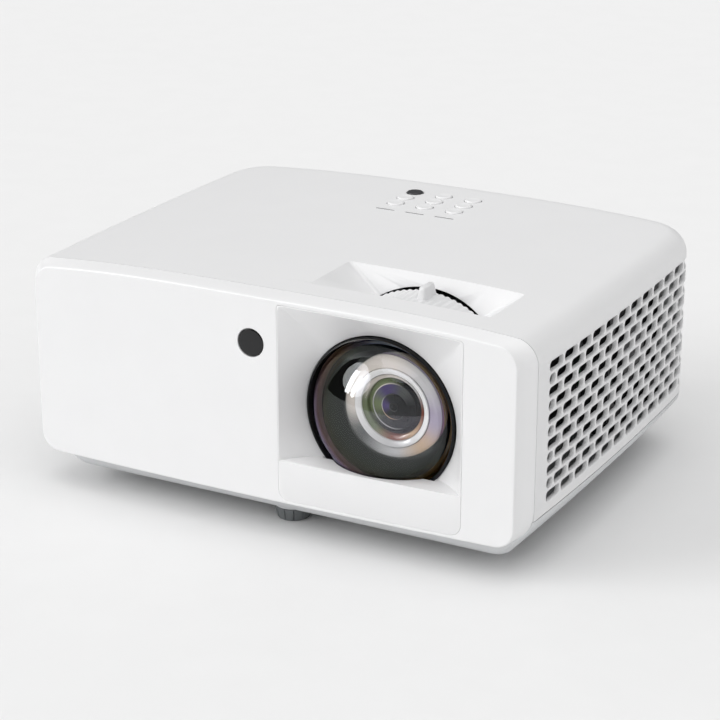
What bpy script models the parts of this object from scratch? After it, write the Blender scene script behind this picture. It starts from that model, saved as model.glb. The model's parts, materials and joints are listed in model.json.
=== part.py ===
"""Home projector: a white casing with slotted sides, a short-throw lens in a funnel-shaped
panel, a focus ring in a roof well, a keypad, adjustable feet, and what it holds inside.

Sizes are in millimetres and become metres when a mesh is made. X is to the right, the front
faces -Y, and the feet stand on Z = 0.
"""

import math

import bmesh
import bpy
from mathutils import Matrix, Vector

MM = 0.001
GAP = 0.3
CUT = 10.0  # how far a cutter runs past the wall it goes through
CLEARANCE = 4.0
CENTRE_Y = 2.3  # moves the whole object so that the box around it is centred on the origin

# Casing
HALF_WIDTH = 137.0
SIDE_BULGE = 2.52e-4
SIDE_BULGE_Y = 5.0
REAR_Y = 108.0
REAR_BOW = 3.0
REAR_CORNER = 22.5
SEAM_Y = -96.0
ROOF_Z = 121.3
ROOF_CROWN = (2.8, 116.0, 3.0)
SHOULDER = 10.5
SPLIT_Z = 32.0
WALL = 2.5
BASE_Z = 7.1
BASE_FRONT_Y = -95.6
BASE_ROUND = 12.0
BASE_SIDE = ((31.7, 1.0), (29.0, 5.5), (24.3, 13.0), (19.1, 22.0))  # height, front corner radius
BASE_FRONT_CORNER = 24.0
BASE_FLARE = (  # height, side inset
    (31.7, 0.0), (29.5, 0.3), (27.3, 1.8), (24.3, 4.2), (19.1, 8.7), (12.3, 14.5), (8.8, 17.5), (7.1, 19.5)
)
BASE_WALL_TOP = 21.4

# Front plate and the band behind it
PLATE_Y = -108.0
PLATE_SAG = 2.9
PLATE_HALF = 128.7
PLATE_BOTTOM = 20.0
PLATE_TOP = 120.5
PLATE_CROWN = (3.0, 108.0, 3.2)
PLATE_CORNER = 9.5
BAND_HALF = 134.4
BAND_CORNER = 10.5
BAND_LOWER_CORNER = 18.0
BAND_BOTTOM = 19.0

# Infrared window
EYE_X = -4.85
EYE_Z = 97.5
EYE_RADIUS = 6.65

# Lens panel and lens
PANEL_LEFT = 9.3
PANEL_RIGHT = 102.9
PANEL_BOTTOM = 21.9
PANEL_TOP_MARGIN = 2.3
PANEL_CORNER = 5.5
PANEL_BACK_Y = -92.0
LEDGE_Z = 41.8
FLOOR_BACK_Z = 40.0
LENS_X = 55.6
LENS_Z = 67.5
MOUTH_Y = -93.8
MOUTH_RADIUS = 38.7
RING_RADIUS = 38.1
DOME_RADIUS = 38.5
DOME_DEPTH = 29.8
DOME_APEX_Y = -112.5
DOME_RIM = 36.5

# Focus ring and the well around it
FOCUS_RADIUS = 47.5
FOCUS_BORE = 43.0
FOCUS_FRONT_Y = -74.5
FOCUS_BACK_Y = -47.7
FOCUS_RIBS = 44
TAB_X = LENS_X + 3.8
WELL_TOP = (11.9, 107.2, -81.4, -42.5)
WELL_FLOOR = (36.0, 83.0, -75.0, -48.5)
WELL_FLOOR_Z = 104.0
WELL_WALL = 2.4
RING_GAP = 0.7

# Side grilles
SLOT_ROWS = 11
SLOT_TOP_Z = 102.2
SLOT_STEP_Z = 6.27
SLOT_HEIGHT = 5.05
SLOT_LENGTH = 13.6
HALF_SLOT_LENGTH = 6.5
SLOT_START_Y = -78.8
SLOT_STEP_Y = 15.3
SLOTS_IN_ROW = 12
GRILLE_X = 118.0
GRILLE_Y = (-91.5, 101.0)
GRILLE_Z = (35.0, 108.0)

# Controls on the roof
KEY_X = (-14.5, 2.4, 19.4)
KEY_Y = (78.8, 67.5, 56.3)
KEY_NAMES = (
    ("power_button", "menu_button", "source_button"),
    ("left_button", "enter_button", "right_button"),
    ("info_button", "down_button", "resync_button"),
)
KEY_RADIUS = 4.75
KEY_HOLE = 5.1
LED_Y = 44.0
LED_X = (-14.1, 2.7, 19.7)
LED_NAMES = ("power_light", "lamp_light", "temperature_light")

# Rear panel and its sockets: name, centre x, centre z, outer width and height, mouth width and height
REAR_PANEL = (-111.0, 111.0, 35.5, 98.0)
REAR_PANEL_Y = (101.0, 103.0)
SOCKETS = (
    ("hdmi_1", 72.0, 45.0, 16.0, 7.4, 14.2, 4.9),
    ("hdmi_2", 48.0, 45.0, 16.0, 7.4, 14.2, 4.9),
    ("usb_port", 25.0, 45.5, 14.6, 8.0, 12.6, 5.2),
    ("network_port", 1.0, 47.0, 16.4, 13.6, 12.0, 8.6),
    ("serial_port", -49.0, 46.5, 31.0, 12.6, 17.2, 8.6),
)
SOCKET_Y = (86.0, 104.4)
REAR_VENTS = 8
REAR_VENT_X = (-8.0, 92.0)
REAR_VENT_Z = 60.0
REAR_VENT_STEP = 4.4
REAR_VENT_HEIGHT = 2.2
AUDIO = ("audio_out", -21.0, 45.5, 8.6)
INLET = (-84.0, 74.0, 30.0, 24.0, 24.4, 16.2)

# Fans, wheel and feet
FAN_SIZE = 70.0
FAN_Z = 69.0
RIGHT_FAN = (112.0, 44.0)
LEFT_FAN = (-112.0, -35.0)
FAN_DEPTH = 14.0
FAN_RIM = 1.8
FAN_ARM = 1.5
FAN_HUB = 15.0
FAN_HUB_X = 8.0
FAN_BLADES = 9
FAN_BLADE = (8.0, 1.3, 18.0)
FAN_BLADE_Z = 22.5
FAN_BLADE_PITCH = math.radians(38)
WHEEL_CENTRE = (-43.0, 5.0, 68.0)
FEET = (("front_foot", 0.0, -78.0), ("rear_left_foot", -100.0, 72.0), ("rear_right_foot", 100.0, 72.0))
BASE_VENTS = 9
BASE_VENT_X = -40.0
BASE_VENT_Y = (-12.0, 34.0)
BASE_VENT_STEP = 7.0
BASE_VENT_WIDTH = 3.0
CEILING_BOSSES = ((-70.0, -40.0), (70.0, -40.0), (0.0, 60.0))
SCREWS = ((-104.0, -62.0), (104.0, -62.0), (-62.0, 84.0), (62.0, 84.0))

COLOURS = {
    "white_shell": ((0.86, 0.86, 0.86), 0.42, 0.0),
    "white_grille": ((0.84, 0.84, 0.84), 0.45, 0.0),
    "light_grey": ((0.62, 0.63, 0.64), 0.5, 0.0),
    "grey_rubber": ((0.30, 0.31, 0.32), 0.75, 0.0),
    "dark_key": ((0.10, 0.10, 0.11), 0.4, 0.0),
    "black_plastic": ((0.02, 0.02, 0.022), 0.4, 0.0),
    "black_window": ((0.008, 0.008, 0.01), 0.08, 0.0),
    "clear_glass": ((0.75, 0.78, 0.85), 0.02, 0.0),
    "light_guide": ((0.35, 0.36, 0.37), 0.3, 0.0),
    "green_board": ((0.02, 0.16, 0.07), 0.5, 0.0),
    "aluminium": ((0.75, 0.76, 0.78), 0.35, 1.0),
    "steel": ((0.55, 0.55, 0.56), 0.3, 1.0),
    "phosphor": ((0.85, 0.75, 0.2), 0.5, 0.0),
}


def clear_scene():
    for obj in list(bpy.data.objects):
        bpy.data.objects.remove(obj, do_unlink=True)


def new_collection(name, hidden=False):
    collection = bpy.data.collections.new(name)
    bpy.context.scene.collection.children.link(collection)
    collection.hide_render = hidden
    return collection


def make_material(name, colour, roughness, metallic):
    material = bpy.data.materials.new(name)
    material.use_nodes = True
    shader = material.node_tree.nodes["Principled BSDF"]
    shader.inputs["Base Color"].default_value = (*colour, 1.0)
    shader.inputs["Roughness"].default_value = roughness
    shader.inputs["Metallic"].default_value = metallic
    material.diffuse_color = (*colour, 1.0)
    return material


clear_scene()
PARTS = new_collection("home_projector")
CUTTERS = new_collection("cutters", hidden=True)
MATERIALS = {name: make_material(name, *values) for name, values in COLOURS.items()}
ROOT = bpy.data.objects.new("projector", None)
ROOT.location = (0.0, CENTRE_Y * MM, 0.0)
PARTS.objects.link(ROOT)


# ---------------------------------------------------------------- objects


def place(name, bm, material, pivot=(0.0, 0.0, 0.0), smooth=False):
    """A named part from a bmesh in millimetres, with its origin at the pivot."""
    bm.transform(Matrix.Translation(-Vector(pivot)))
    bm.transform(Matrix.Scale(MM, 4))
    mesh = bpy.data.meshes.new(name)
    bm.to_mesh(mesh)
    bm.free()
    if smooth:
        mesh.shade_smooth()
    obj = bpy.data.objects.new(name, mesh)
    obj.location = Vector(pivot) * MM
    obj.parent = ROOT
    if material is None:
        CUTTERS.objects.link(obj)
        obj.hide_render = True
        obj.display_type = "WIRE"
    else:
        PARTS.objects.link(obj)
        mesh.materials.append(MATERIALS[material])
    return obj


def combine(obj, other, operation):
    """A live Boolean of the other object on this one."""
    modifier = obj.modifiers.new(f"{operation.lower()}_{other.name}", "BOOLEAN")
    modifier.operation = operation
    modifier.object = other
    modifier.solver = "EXACT"
    return obj


def cut(obj, *cutters):
    for cutter in cutters:
        combine(obj, cutter, "DIFFERENCE")
    return obj


def join(obj, *others):
    for other in others:
        combine(obj, other, "UNION")
    return obj


def add_box(bm, low, high):
    centre = [(a + b) / 2 for a, b in zip(low, high)]
    size = [b - a for a, b in zip(low, high)]
    matrix = Matrix.Translation(centre) @ Matrix.Diagonal((*size, 1.0))
    bmesh.ops.create_cube(bm, size=1.0, matrix=matrix)


def boxes(name, material, spans):
    """One object of separate boxes, each given by its low and high corner."""
    bm = bmesh.new()
    for low, high in spans:
        add_box(bm, low, high)
    return place(name, bm, material)


def turned(name, material, profile, centre, axis="Z", steps=32, closed=True):
    """A turned solid. Profile points are (radius, height), down the outer side first; a closed
    profile comes back up its bore. Height runs along +Z, along +X, or towards the front."""
    mesh = bpy.data.meshes.new(name)
    points = [(radius * MM, 0.0, height * MM) for radius, height in profile]
    edges = [(i, i + 1) for i in range(len(points) - 1)]
    if closed:
        edges.append((len(points) - 1, 0))
    mesh.from_pydata(points, edges, [])
    obj = bpy.data.objects.new(name, mesh)
    obj.location = Vector(centre) * MM
    obj.rotation_euler = {"Z": (0, 0, 0), "X": (0, math.pi / 2, 0), "FRONT": (math.pi / 2, 0, 0)}[axis]
    obj.parent = ROOT
    screw = obj.modifiers.new("turn", "SCREW")
    screw.angle = math.tau
    screw.steps = steps
    screw.render_steps = steps
    screw.use_merge_vertices = True
    screw.merge_threshold = 1e-6
    screw.use_smooth_shade = True
    if material is None:
        CUTTERS.objects.link(obj)
        obj.hide_render = True
        obj.display_type = "WIRE"
    else:
        PARTS.objects.link(obj)
        mesh.materials.append(MATERIALS[material])
    return obj


def rod(name, material, radius, low, high, centre, axis="Z", steps=24):
    profile = ((0.0, high), (radius, high), (radius, low), (0.0, low))
    return turned(name, material, profile, centre, axis, steps, closed=False)


def loft(name, material, rings, first_cap, last_cap):
    """A closed solid through rings of equal length; the caps are lists of faces over ring indices."""
    bm = bmesh.new()
    levels = [[bm.verts.new(point) for point in ring] for ring in rings]
    count = len(rings[0])
    for lower, upper in zip(levels, levels[1:]):
        for i in range(count):
            j = (i + 1) % count
            bm.faces.new((lower[i], lower[j], upper[j], upper[i]))
    for face in first_cap:
        bm.faces.new([levels[0][i] for i in reversed(face)])
    for face in last_cap:
        bm.faces.new([levels[-1][i] for i in face])
    bmesh.ops.recalc_face_normals(bm, faces=bm.faces)
    return place(name, bm, material)


# ---------------------------------------------------------------- outlines


def crown(x, shape):
    drop, at, power = shape
    return drop * (abs(x) / at) ** power


def half_width(y):
    return HALF_WIDTH - SIDE_BULGE * (y - SIDE_BULGE_Y) ** 2


def plate_y(x):
    return PLATE_Y + PLATE_SAG * (x / PLATE_HALF) ** 2


def arc(centre_x, centre_y, radius, start, end, steps):
    for i in range(steps + 1):
        angle = math.radians(start + (end - start) * i / steps)
        yield centre_x + radius * math.cos(angle), centre_y + radius * math.sin(angle)


def half_plan(inset, front_y, front_corner, arc_steps=4):
    """The right half of the casing's outline in plan, from the front to the rear."""
    points = []
    side_start = front_y
    if front_corner:
        radius = max(front_corner - inset, 0.5)
        side_start = front_y + radius
        edge = half_width(side_start) - inset
        points += arc(edge - radius, side_start, radius, -90, 0, arc_steps)
    radius = max(REAR_CORNER - inset, 0.5)
    side_end = REAR_Y - inset - radius
    steps = 4
    for i in range(1 if front_corner else 0, steps):
        y = side_start + (side_end - REAR_BOW - side_start) * i / steps
        points.append((half_width(y) - inset, y))
    edge = half_width(side_end) - inset
    for x, y in arc(edge - radius, side_end, radius, 0, 90, arc_steps):
        points.append((x, y - REAR_BOW * (x / HALF_WIDTH) ** 2))
    for share in (0.66, 0.33):
        x = (edge - radius) * share
        points.append((x, REAR_Y - inset - REAR_BOW * (x / HALF_WIDTH) ** 2))
    return points


def plan_ring(half):
    """Both halves, as one ring that starts at the right front and ends at the left front."""
    left = [(-x, y) for x, y in reversed(half) if x > 0.0]
    return half + left


def ring_cap(count):
    """Faces across a ring that is the same on both sides."""
    return [(i, i + 1, count - 2 - i, count - 1 - i) for i in range(count // 2 - 1)]


def casing_solid(name, inset, front_y, bottom_z, material=None):
    """The casing's outer form, or its hollow when inset: walls, rounded shoulder and crowned roof."""
    rings = []
    half = half_plan(inset, front_y, 0.0)
    rings.append([(x, y, bottom_z) for x, y in plan_ring(half)])
    radius = SHOULDER - inset
    for degrees in (0, 22.5, 45, 67.5, 90):
        angle = math.radians(degrees)
        ring = plan_ring(half_plan(inset + radius * (1 - math.cos(angle)), front_y, 0.0))
        fall = radius * (1 - math.sin(angle)) + inset
        rings.append([(x, y, ROOF_Z - crown(x, ROOF_CROWN) - fall) for x, y in ring])
    for depth in (34.0, 64.0, 100.0):
        ring = plan_ring(half_plan(depth, front_y, 0.0))
        rings.append([(x, y, ROOF_Z - crown(x, ROOF_CROWN) - inset) for x, y in ring])
    caps = ring_cap(len(rings[0]))
    return loft(name, material, rings, caps, caps)


def flare(z):
    """How far the base's sides stand in from the casing's widest line at a height."""
    for (high, high_inset), (low, low_inset) in zip(BASE_FLARE, BASE_FLARE[1:]):
        if z >= low:
            share = max(high - z, 0.0) / (high - low)
            return high_inset + (low_inset - high_inset) * share
    return BASE_FLARE[-1][1]


def base_solid(name, inset, top_z, material=None):
    """The base tray's outer form, or its hollow when inset. Its front corners sweep in as they
    go down, and its lower edge is rounded."""
    radius = BASE_ROUND - inset
    levels = []
    for degrees in (90, 67.5, 45, 22.5):
        angle = math.radians(degrees)
        side = inset + radius * (1 - math.cos(angle))
        z = BASE_Z + inset + radius * (1 - math.sin(angle))
        levels.append((z, side, BASE_FRONT_CORNER + side))
    levels += [(z, inset, corner + inset) for z, corner in reversed(BASE_SIDE)]
    rings = []
    for z, side, corner in levels:
        narrow = (HALF_WIDTH - flare(z) - inset) / (HALF_WIDTH - side)
        ring = plan_ring(half_plan(side, BASE_FRONT_Y + side, corner))
        rings.append([(x * narrow, y, z) for x, y in ring])
    rings[-1] = [(x, y, top_z) for x, y, z in rings[-1]]
    caps = ring_cap(len(rings[0]))
    return loft(name, material, rings, caps, caps)


def edge_spans(left, right, reach, corner_steps=6, middle_steps=8):
    """Places from left to right: close together within reach of either end, wider between."""
    spans = []
    for i in range(corner_steps):
        angle = math.radians(90 * i / corner_steps)
        spans.append(left + reach * (1 - math.cos(angle)))
    for i in range(middle_steps + 1):
        spans.append(left + reach + (right - left - 2 * reach) * i / middle_steps)
    return spans + [left + right - x for x in reversed(spans[:corner_steps])]


def corner_pull(x, left, right, radius):
    """How far a rounded corner pulls the edge in at this place."""
    reach = radius - min(x - left, right - x)
    return radius - math.sqrt(max(radius**2 - reach**2, 0.0)) if reach > 0.0 else 0.0


def upright_ring(spans, bottom, top, y_of, upper_corner, lower_corner):
    """A ring standing in XZ: the upper edge from left to right, then the lower edge back."""
    left, right = spans[0], spans[-1]
    upper = [(x, y_of(x), top(x) - corner_pull(x, left, right, upper_corner)) for x in spans]
    lower = [(x, y_of(x), bottom + corner_pull(x, left, right, lower_corner)) for x in spans]
    return upper + lower[::-1]


def plate_top(x):
    return PLATE_TOP - crown(x, PLATE_CROWN)


def roof_top(x):
    return ROOF_Z - crown(x, ROOF_CROWN)


# ---------------------------------------------------------------- casing


def side_grille(name, side):
    """One slotted side: the casing wall between the shoulder and the base."""
    outer = casing_solid(name, 0.0, GRILLE_Y[0] + GAP, SPLIT_Z, "white_grille")
    hollow = casing_solid(f"{name}_hollow", WALL, GRILLE_Y[0] - 10.0, SPLIT_Z - 10.0)
    x_low, x_high = sorted((side * (GRILLE_X + GAP), side * 160.0))
    low = (x_low, GRILLE_Y[0] + GAP, GRILLE_Z[0] + GAP)
    high = (x_high, GRILLE_Y[1] - GAP, GRILLE_Z[1] - GAP)
    zone = boxes(f"{name}_zone", None, [(low, high)])
    combine(outer, zone, "INTERSECT")
    spans = []
    for row in range(SLOT_ROWS):
        z = SLOT_TOP_Z - row * SLOT_STEP_Z
        for y, length in slot_row(row):
            spans.append(slot_box(side, y, length, z))
    slots = boxes(f"{name}_slots", None, spans)
    return cut(outer, hollow, slots)


def slot_row(row):
    """(centre y, length) of each slot in a row; every other row is shifted by half a step."""
    shift = 0.5 * (row % 2)
    if row % 2:
        start = SLOT_START_Y - SLOT_LENGTH / 2
        yield start + HALF_SLOT_LENGTH / 2, HALF_SLOT_LENGTH
    for column in range(SLOTS_IN_ROW - row % 2):
        yield SLOT_START_Y + (column + shift) * SLOT_STEP_Y, SLOT_LENGTH


def slot_box(side, y, length, z):
    x_low, x_high = sorted((side * 110.0, side * 150.0))
    low = (x_low, y - length / 2, z - SLOT_HEIGHT / 2)
    return low, (x_high, y + length / 2, z + SLOT_HEIGHT / 2)


def frustum(name, top, top_z, floor, floor_z, material=None):
    """A block between two level rectangles, each (x low, x high, y low, y high)."""
    corners = ((0, 2), (1, 2), (1, 3), (0, 3))
    rings = [[(r[i], r[j], z) for i, j in corners] for r, z in ((floor, floor_z), (top, top_z))]
    return loft(name, material, rings, [(0, 1, 2, 3)], [(0, 1, 2, 3)])


def grown(rectangle, by):
    return rectangle[0] - by, rectangle[1] + by, rectangle[2] - by, rectangle[3] + by


def top_cover():
    cover = casing_solid("top_cover", 0.0, SEAM_Y + GAP, SPLIT_Z + GAP, "white_shell")
    cut(cover, casing_solid("cover_hollow", WALL, SEAM_Y - 10.0, SPLIT_Z - 10.0))
    block_top = roof_top(WELL_TOP[1]) - 0.6
    outer_top, outer_floor = grown(WELL_TOP, WELL_WALL), grown(WELL_FLOOR, WELL_WALL)
    block = frustum("well_block", outer_top, block_top, outer_floor, WELL_FLOOR_Z - WELL_WALL)
    join(cover, block)
    share = (ROOF_Z + CLEARANCE - WELL_FLOOR_Z) / (ROOF_Z - WELL_FLOOR_Z)
    above = tuple(f + (t - f) * share for t, f in zip(WELL_TOP, WELL_FLOOR))
    cut(cover, frustum("well_hollow", above, ROOF_Z + CLEARANCE, WELL_FLOOR, WELL_FLOOR_Z))
    ring_room = rod(
        "ring_room", None, FOCUS_RADIUS + RING_GAP, -(FOCUS_BACK_Y + RING_GAP), -(FOCUS_FRONT_Y - RING_GAP),
        (LENS_X, 0.0, LENS_Z), "FRONT", 72,
    )
    cut(cover, ring_room)
    windows = []
    for side in (-1, 1):
        x_low, x_high = sorted((side * GRILLE_X, side * 160.0))
        windows.append(((x_low, GRILLE_Y[0], GRILLE_Z[0]), (x_high, GRILLE_Y[1], GRILLE_Z[1])))
    left, right, low, high = REAR_PANEL
    windows.append(((left, 90.0, low), (right, 120.0, high)))
    windows += [((x - 5.3, LED_Y - 0.75, 100.0), (x + 5.3, LED_Y + 0.75, 130.0)) for x in LED_X]
    cut(cover, boxes("cover_windows", None, windows))
    bm = bmesh.new()
    for x in KEY_X:
        for y in KEY_Y:
            matrix = Matrix.Translation((x, y, ROOF_Z))
            bmesh.ops.create_cone(
                bm, cap_ends=True, segments=14, radius1=KEY_HOLE, radius2=KEY_HOLE, depth=12.0, matrix=matrix
            )
    return cut(cover, place("key_holes", bm, None))


def band_rings(inset, back_y):
    """The front plate's outline and the wider outline behind it."""
    front = edge_spans(-PLATE_HALF + inset, PLATE_HALF - inset, BAND_LOWER_CORNER)
    back = edge_spans(-BAND_HALF + inset, BAND_HALF - inset, BAND_LOWER_CORNER)
    corner = PLATE_CORNER - inset
    return [
        upright_ring(
            front, PLATE_BOTTOM + inset, lambda x: plate_top(x) - inset,
            lambda x: plate_y(x) + inset, corner, corner,
        ),
        upright_ring(
            back, BAND_BOTTOM + inset, lambda x: roof_top(x) - inset,
            lambda x: back_y, BAND_CORNER - inset, BAND_LOWER_CORNER - inset,
        ),
    ]


def front_bezel():
    """The front plate and the band that slopes back from it to the cover's edge."""
    rings = band_rings(0.0, SEAM_Y)
    caps = ring_cap(len(rings[0]))
    bezel = loft("front_bezel", "white_shell", rings, caps, caps)
    cut(bezel, loft("bezel_hollow", None, band_rings(WALL, SEAM_Y + 1.0), caps, caps))
    opening = panel_rings(-GAP, -125.0, -80.0)
    opening_caps = ring_cap(len(opening[0]))
    cut(bezel, loft("panel_opening", None, opening, opening_caps, opening_caps))
    eye = rod("eye_hole", None, EYE_RADIUS + GAP, 90.0, 120.0, (EYE_X, 0.0, EYE_Z), "FRONT", 32)
    return cut(bezel, eye)


def panel_top(x):
    return plate_top(x) - PANEL_TOP_MARGIN


def panel_rings(inset, front_y=None, back_y=PANEL_BACK_Y):
    spans = edge_spans(PANEL_LEFT + inset, PANEL_RIGHT - inset, PANEL_CORNER, 3, 8)
    ring = {"bottom": PANEL_BOTTOM + inset, "top": lambda x: panel_top(x) - inset}
    corners = {"upper_corner": PANEL_CORNER, "lower_corner": PANEL_CORNER}
    face = plate_y if front_y is None else (lambda x: front_y)
    return [upright_ring(spans, y_of=y_of, **ring, **corners) for y_of in (face, lambda x: back_y)]


def lens_surround():
    """The lens panel: a funnel from a rectangle to the round mouth, with a ledge as its floor."""
    rings = panel_rings(0.0)
    caps = ring_cap(len(rings[0]))
    panel = loft("lens_surround", "white_shell", rings, caps, caps)
    low, high = LEDGE_Z, panel_top(LENS_X) - 0.6
    left, right = PANEL_LEFT + 0.7, PANEL_RIGHT - 0.7
    square, mouth = [], []
    steps = 40
    for i in range(steps):
        angle = math.tau * i / steps
        dx, dz = math.cos(angle), math.sin(angle)
        reach_x = ((right if dx > 0 else left) - LENS_X) / dx if abs(dx) > 1e-6 else math.inf
        reach_z = ((high if dz > 0 else low) - LENS_Z) / dz if abs(dz) > 1e-6 else math.inf
        reach = min(reach_x, reach_z)
        square.append((LENS_X + reach * dx, LENS_Z + reach * dz))
        mouth.append((LENS_X + MOUTH_RADIUS * dx, LENS_Z + MOUTH_RADIUS * dz))
    funnel = []
    for share in (-0.15, 1.0):
        ring = [(a + (b - a) * share, c + (d - c) * share) for (a, c), (b, d) in zip(square, mouth)]
        y = PLATE_Y + (MOUTH_Y - PLATE_Y) * share
        funnel.append([(x, y, z) for x, z in ring])
    funnel.append([(x, PANEL_BACK_Y + 3.0, z) for x, z in mouth])
    around = [tuple(range(steps))]
    recess = loft("recess", None, funnel, around, around)
    floor_rings = []
    for x in (PANEL_LEFT - 5.0, PANEL_RIGHT + 5.0):
        fall = (LEDGE_Z - FLOOR_BACK_Z) / (PANEL_BACK_Y - PLATE_Y)
        front_z = LEDGE_Z + 12.0 * fall
        back_z = FLOOR_BACK_Z - 4.0 * fall
        front, back = PLATE_Y - 12.0, PANEL_BACK_Y + 4.0
        corners = ((front, 0.0), (back, 0.0), (back, back_z), (front, front_z))
        floor_rings.append([(x, y, z) for y, z in corners])
    floor = loft("ledge", None, floor_rings, [(0, 1, 2, 3)], [(0, 1, 2, 3)])
    cut(recess, floor)
    room = [(0.0, -dome_y(0.0) + 0.6)]
    room += [(r + 0.6, -dome_y(r) + 0.6) for r in (6.0, 14.0, 22.0, 29.0, 33.5)]
    room += [(34.8, 96.4), (RING_RADIUS + 0.6, 96.4), (RING_RADIUS + 0.6, 86.0), (0.0, 86.0)]
    lens_room = turned("lens_room", None, room, (LENS_X, 0.0, LENS_Z), "FRONT", 48, closed=False)
    return cut(panel, recess, lens_room)


def dome_y(radius):
    """Where the front lens's outer surface lies at this distance from its axis."""
    return DOME_APEX_Y + DOME_DEPTH * (1 - math.sqrt(1 - (radius / DOME_RADIUS) ** 2))


def base_cover():
    tray = base_solid("base_cover", 0.0, SPLIT_Z - GAP, "light_grey")
    cut(tray, base_solid("tray_hollow", WALL, SPLIT_Z + 10.0))
    posts = bmesh.new()
    holes = bmesh.new()
    shanks = bmesh.new()
    for x, y in SCREWS:
        add_post(posts, x, y, 5.0, BASE_Z + 1.0, 26.0)
        add_post(holes, x, y, 3.4, BASE_Z - 3.0, 12.4)
        add_post(shanks, x, y, 1.7, 10.0, 30.0)
    for x, y in CEILING_BOSSES:
        add_post(posts, x, y, 6.0, BASE_Z + 1.0, 20.0)
        add_post(holes, x, y, 2.0, BASE_Z - 3.0, 17.0)
    for _, x, y in FEET:
        add_post(posts, x, y, 8.0, BASE_Z + 1.0, 24.0)
        add_post(holes, x, y, 4.3, BASE_Z - 3.0, 30.0)
    join(tray, place("posts", posts, None))
    cut(tray, place("post_holes", holes, None))
    cut(tray, place("shank_holes", shanks, None))
    vents = []
    front, back = BASE_VENT_Y
    for i in range(BASE_VENTS):
        x = BASE_VENT_X + BASE_VENT_STEP * i
        vents.append(((x, front, BASE_Z - CUT), (x + BASE_VENT_WIDTH, back, BASE_Z + CUT)))
    vents.append(((-100.0, -100.0, BASE_WALL_TOP), (105.0, -72.0, 40.0)))
    return cut(tray, boxes("base_vents", None, vents))


def add_post(bm, x, y, radius, low, high):
    matrix = Matrix.Translation((x, y, (low + high) / 2))
    bmesh.ops.create_cone(
        bm, cap_ends=True, segments=12, radius1=radius, radius2=radius, depth=high - low, matrix=matrix
    )


def rear_panel():
    left, right, low, high = grown(REAR_PANEL, -GAP)
    panel = boxes("rear_panel", "light_grey", [((left, REAR_PANEL_Y[0], low), (right, REAR_PANEL_Y[1], high))])
    holes = [through_hole(x, z, width, height) for _, x, z, width, height, _, _ in SOCKETS]
    _, x, z, size = AUDIO
    holes.append(through_hole(x, z, size, size))
    x, z, width, height, _, _ = INLET
    holes.append(through_hole(x, z, width, height))
    left, right = REAR_VENT_X
    for i in range(REAR_VENTS):
        z = REAR_VENT_Z + REAR_VENT_STEP * i
        holes.append(((left, REAR_PANEL_Y[0] - CUT, z), (right, REAR_PANEL_Y[1] + CUT, z + REAR_VENT_HEIGHT)))
    return cut(panel, boxes("panel_holes", None, holes))


def through_hole(x, z, width, height):
    """The corners of a hole through the rear panel, with a gap all round the socket in it."""
    half_w, half_h = width / 2 + GAP, height / 2 + GAP
    front, back = REAR_PANEL_Y
    return (x - half_w, front - CUT, z - half_h), (x + half_w, back + CUT, z + half_h)


# ---------------------------------------------------------------- lens


def lens_parts():
    axis = (LENS_X, 0.0, LENS_Z)
    radii = (0.0, 9.0, 18.0, 25.0, 30.5, 34.5, DOME_RIM)
    outer = [(r, -dome_y(r)) for r in radii]
    inner = [(r * 0.86, -dome_y(r) * 1.0 - 4.0 - 2.0 * (r / DOME_RIM) ** 2) for r in reversed(radii)]
    profile = outer + [(DOME_RIM, 91.0), (inner[0][0], 91.0)] + inner[1:]
    turned("front_lens", "clear_glass", profile, axis, "FRONT", 26, closed=False)
    bore = DOME_RIM + GAP
    ring = ((bore, 95.6), (RING_RADIUS, 95.0), (RING_RADIUS, 87.0), (32.0, 87.0), (32.0, 90.6), (bore, 90.6))
    turned("lens_retainer", "black_plastic", ring, axis, "FRONT", 30)
    barrel = (
        (33.6, 86.7), (33.6, 74.9), (42.6, 74.9), (42.6, 48.0), (34.0, 48.0), (34.0, 24.0), (31.0, 24.0),
        (31.0, 86.7),
    )
    turned("lens_barrel", "black_plastic", barrel, axis, "FRONT", 26)
    cell = ((25.0, 84.0), (29.5, 80.0), (29.5, 52.0), (20.0, 52.0), (11.0, 72.0), (13.0, 76.0), (19.0, 82.0))
    turned("inner_cell", "black_plastic", cell, axis, "FRONT", 24)
    glass = ((0.0, 71.5), (6.0, 70.8), (10.0, 68.0), (10.0, 62.0), (0.0, 60.0))
    turned("inner_lens", "clear_glass", glass, axis, "FRONT", 24, closed=False)


def focus_ring():
    """The ribbed ring that turns about the lens, with a tab for the finger."""
    bm = bmesh.new()
    steps = 2 * FOCUS_RIBS
    loops = []
    for radius_of, y in (
        (lambda i: FOCUS_RADIUS - 0.5 * (i % 2), FOCUS_FRONT_Y),
        (lambda i: FOCUS_RADIUS - 0.5 * (i % 2), FOCUS_BACK_Y),
        (lambda i: FOCUS_BORE, FOCUS_BACK_Y),
        (lambda i: FOCUS_BORE, FOCUS_FRONT_Y),
    ):
        loop = []
        for i in range(steps):
            angle = math.tau * i / steps
            x = LENS_X + radius_of(i) * math.sin(angle)
            loop.append(bm.verts.new((x, y, LENS_Z + radius_of(i) * math.cos(angle))))
        loops.append(loop)
    for first, second in zip(loops, loops[1:] + loops[:1]):
        for i in range(steps):
            j = (i + 1) % steps
            bm.faces.new((first[i], first[j], second[j], second[i]))
    bmesh.ops.recalc_face_normals(bm, faces=bm.faces)
    pivot = (LENS_X, (FOCUS_FRONT_Y + FOCUS_BACK_Y) / 2, LENS_Z)
    ring = place("focus_ring", bm, "light_grey", pivot, smooth=True)
    top = LENS_Z + FOCUS_RADIUS
    tab = frustum(
        "focus_tab", (TAB_X - 1.2, TAB_X + 1.2, -60.5, -50.0), top + 5.4,
        (TAB_X - 2.2, TAB_X + 2.2, -62.0, -48.2), top - 2.0,
    )
    return join(ring, tab)


# ---------------------------------------------------------------- controls


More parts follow.
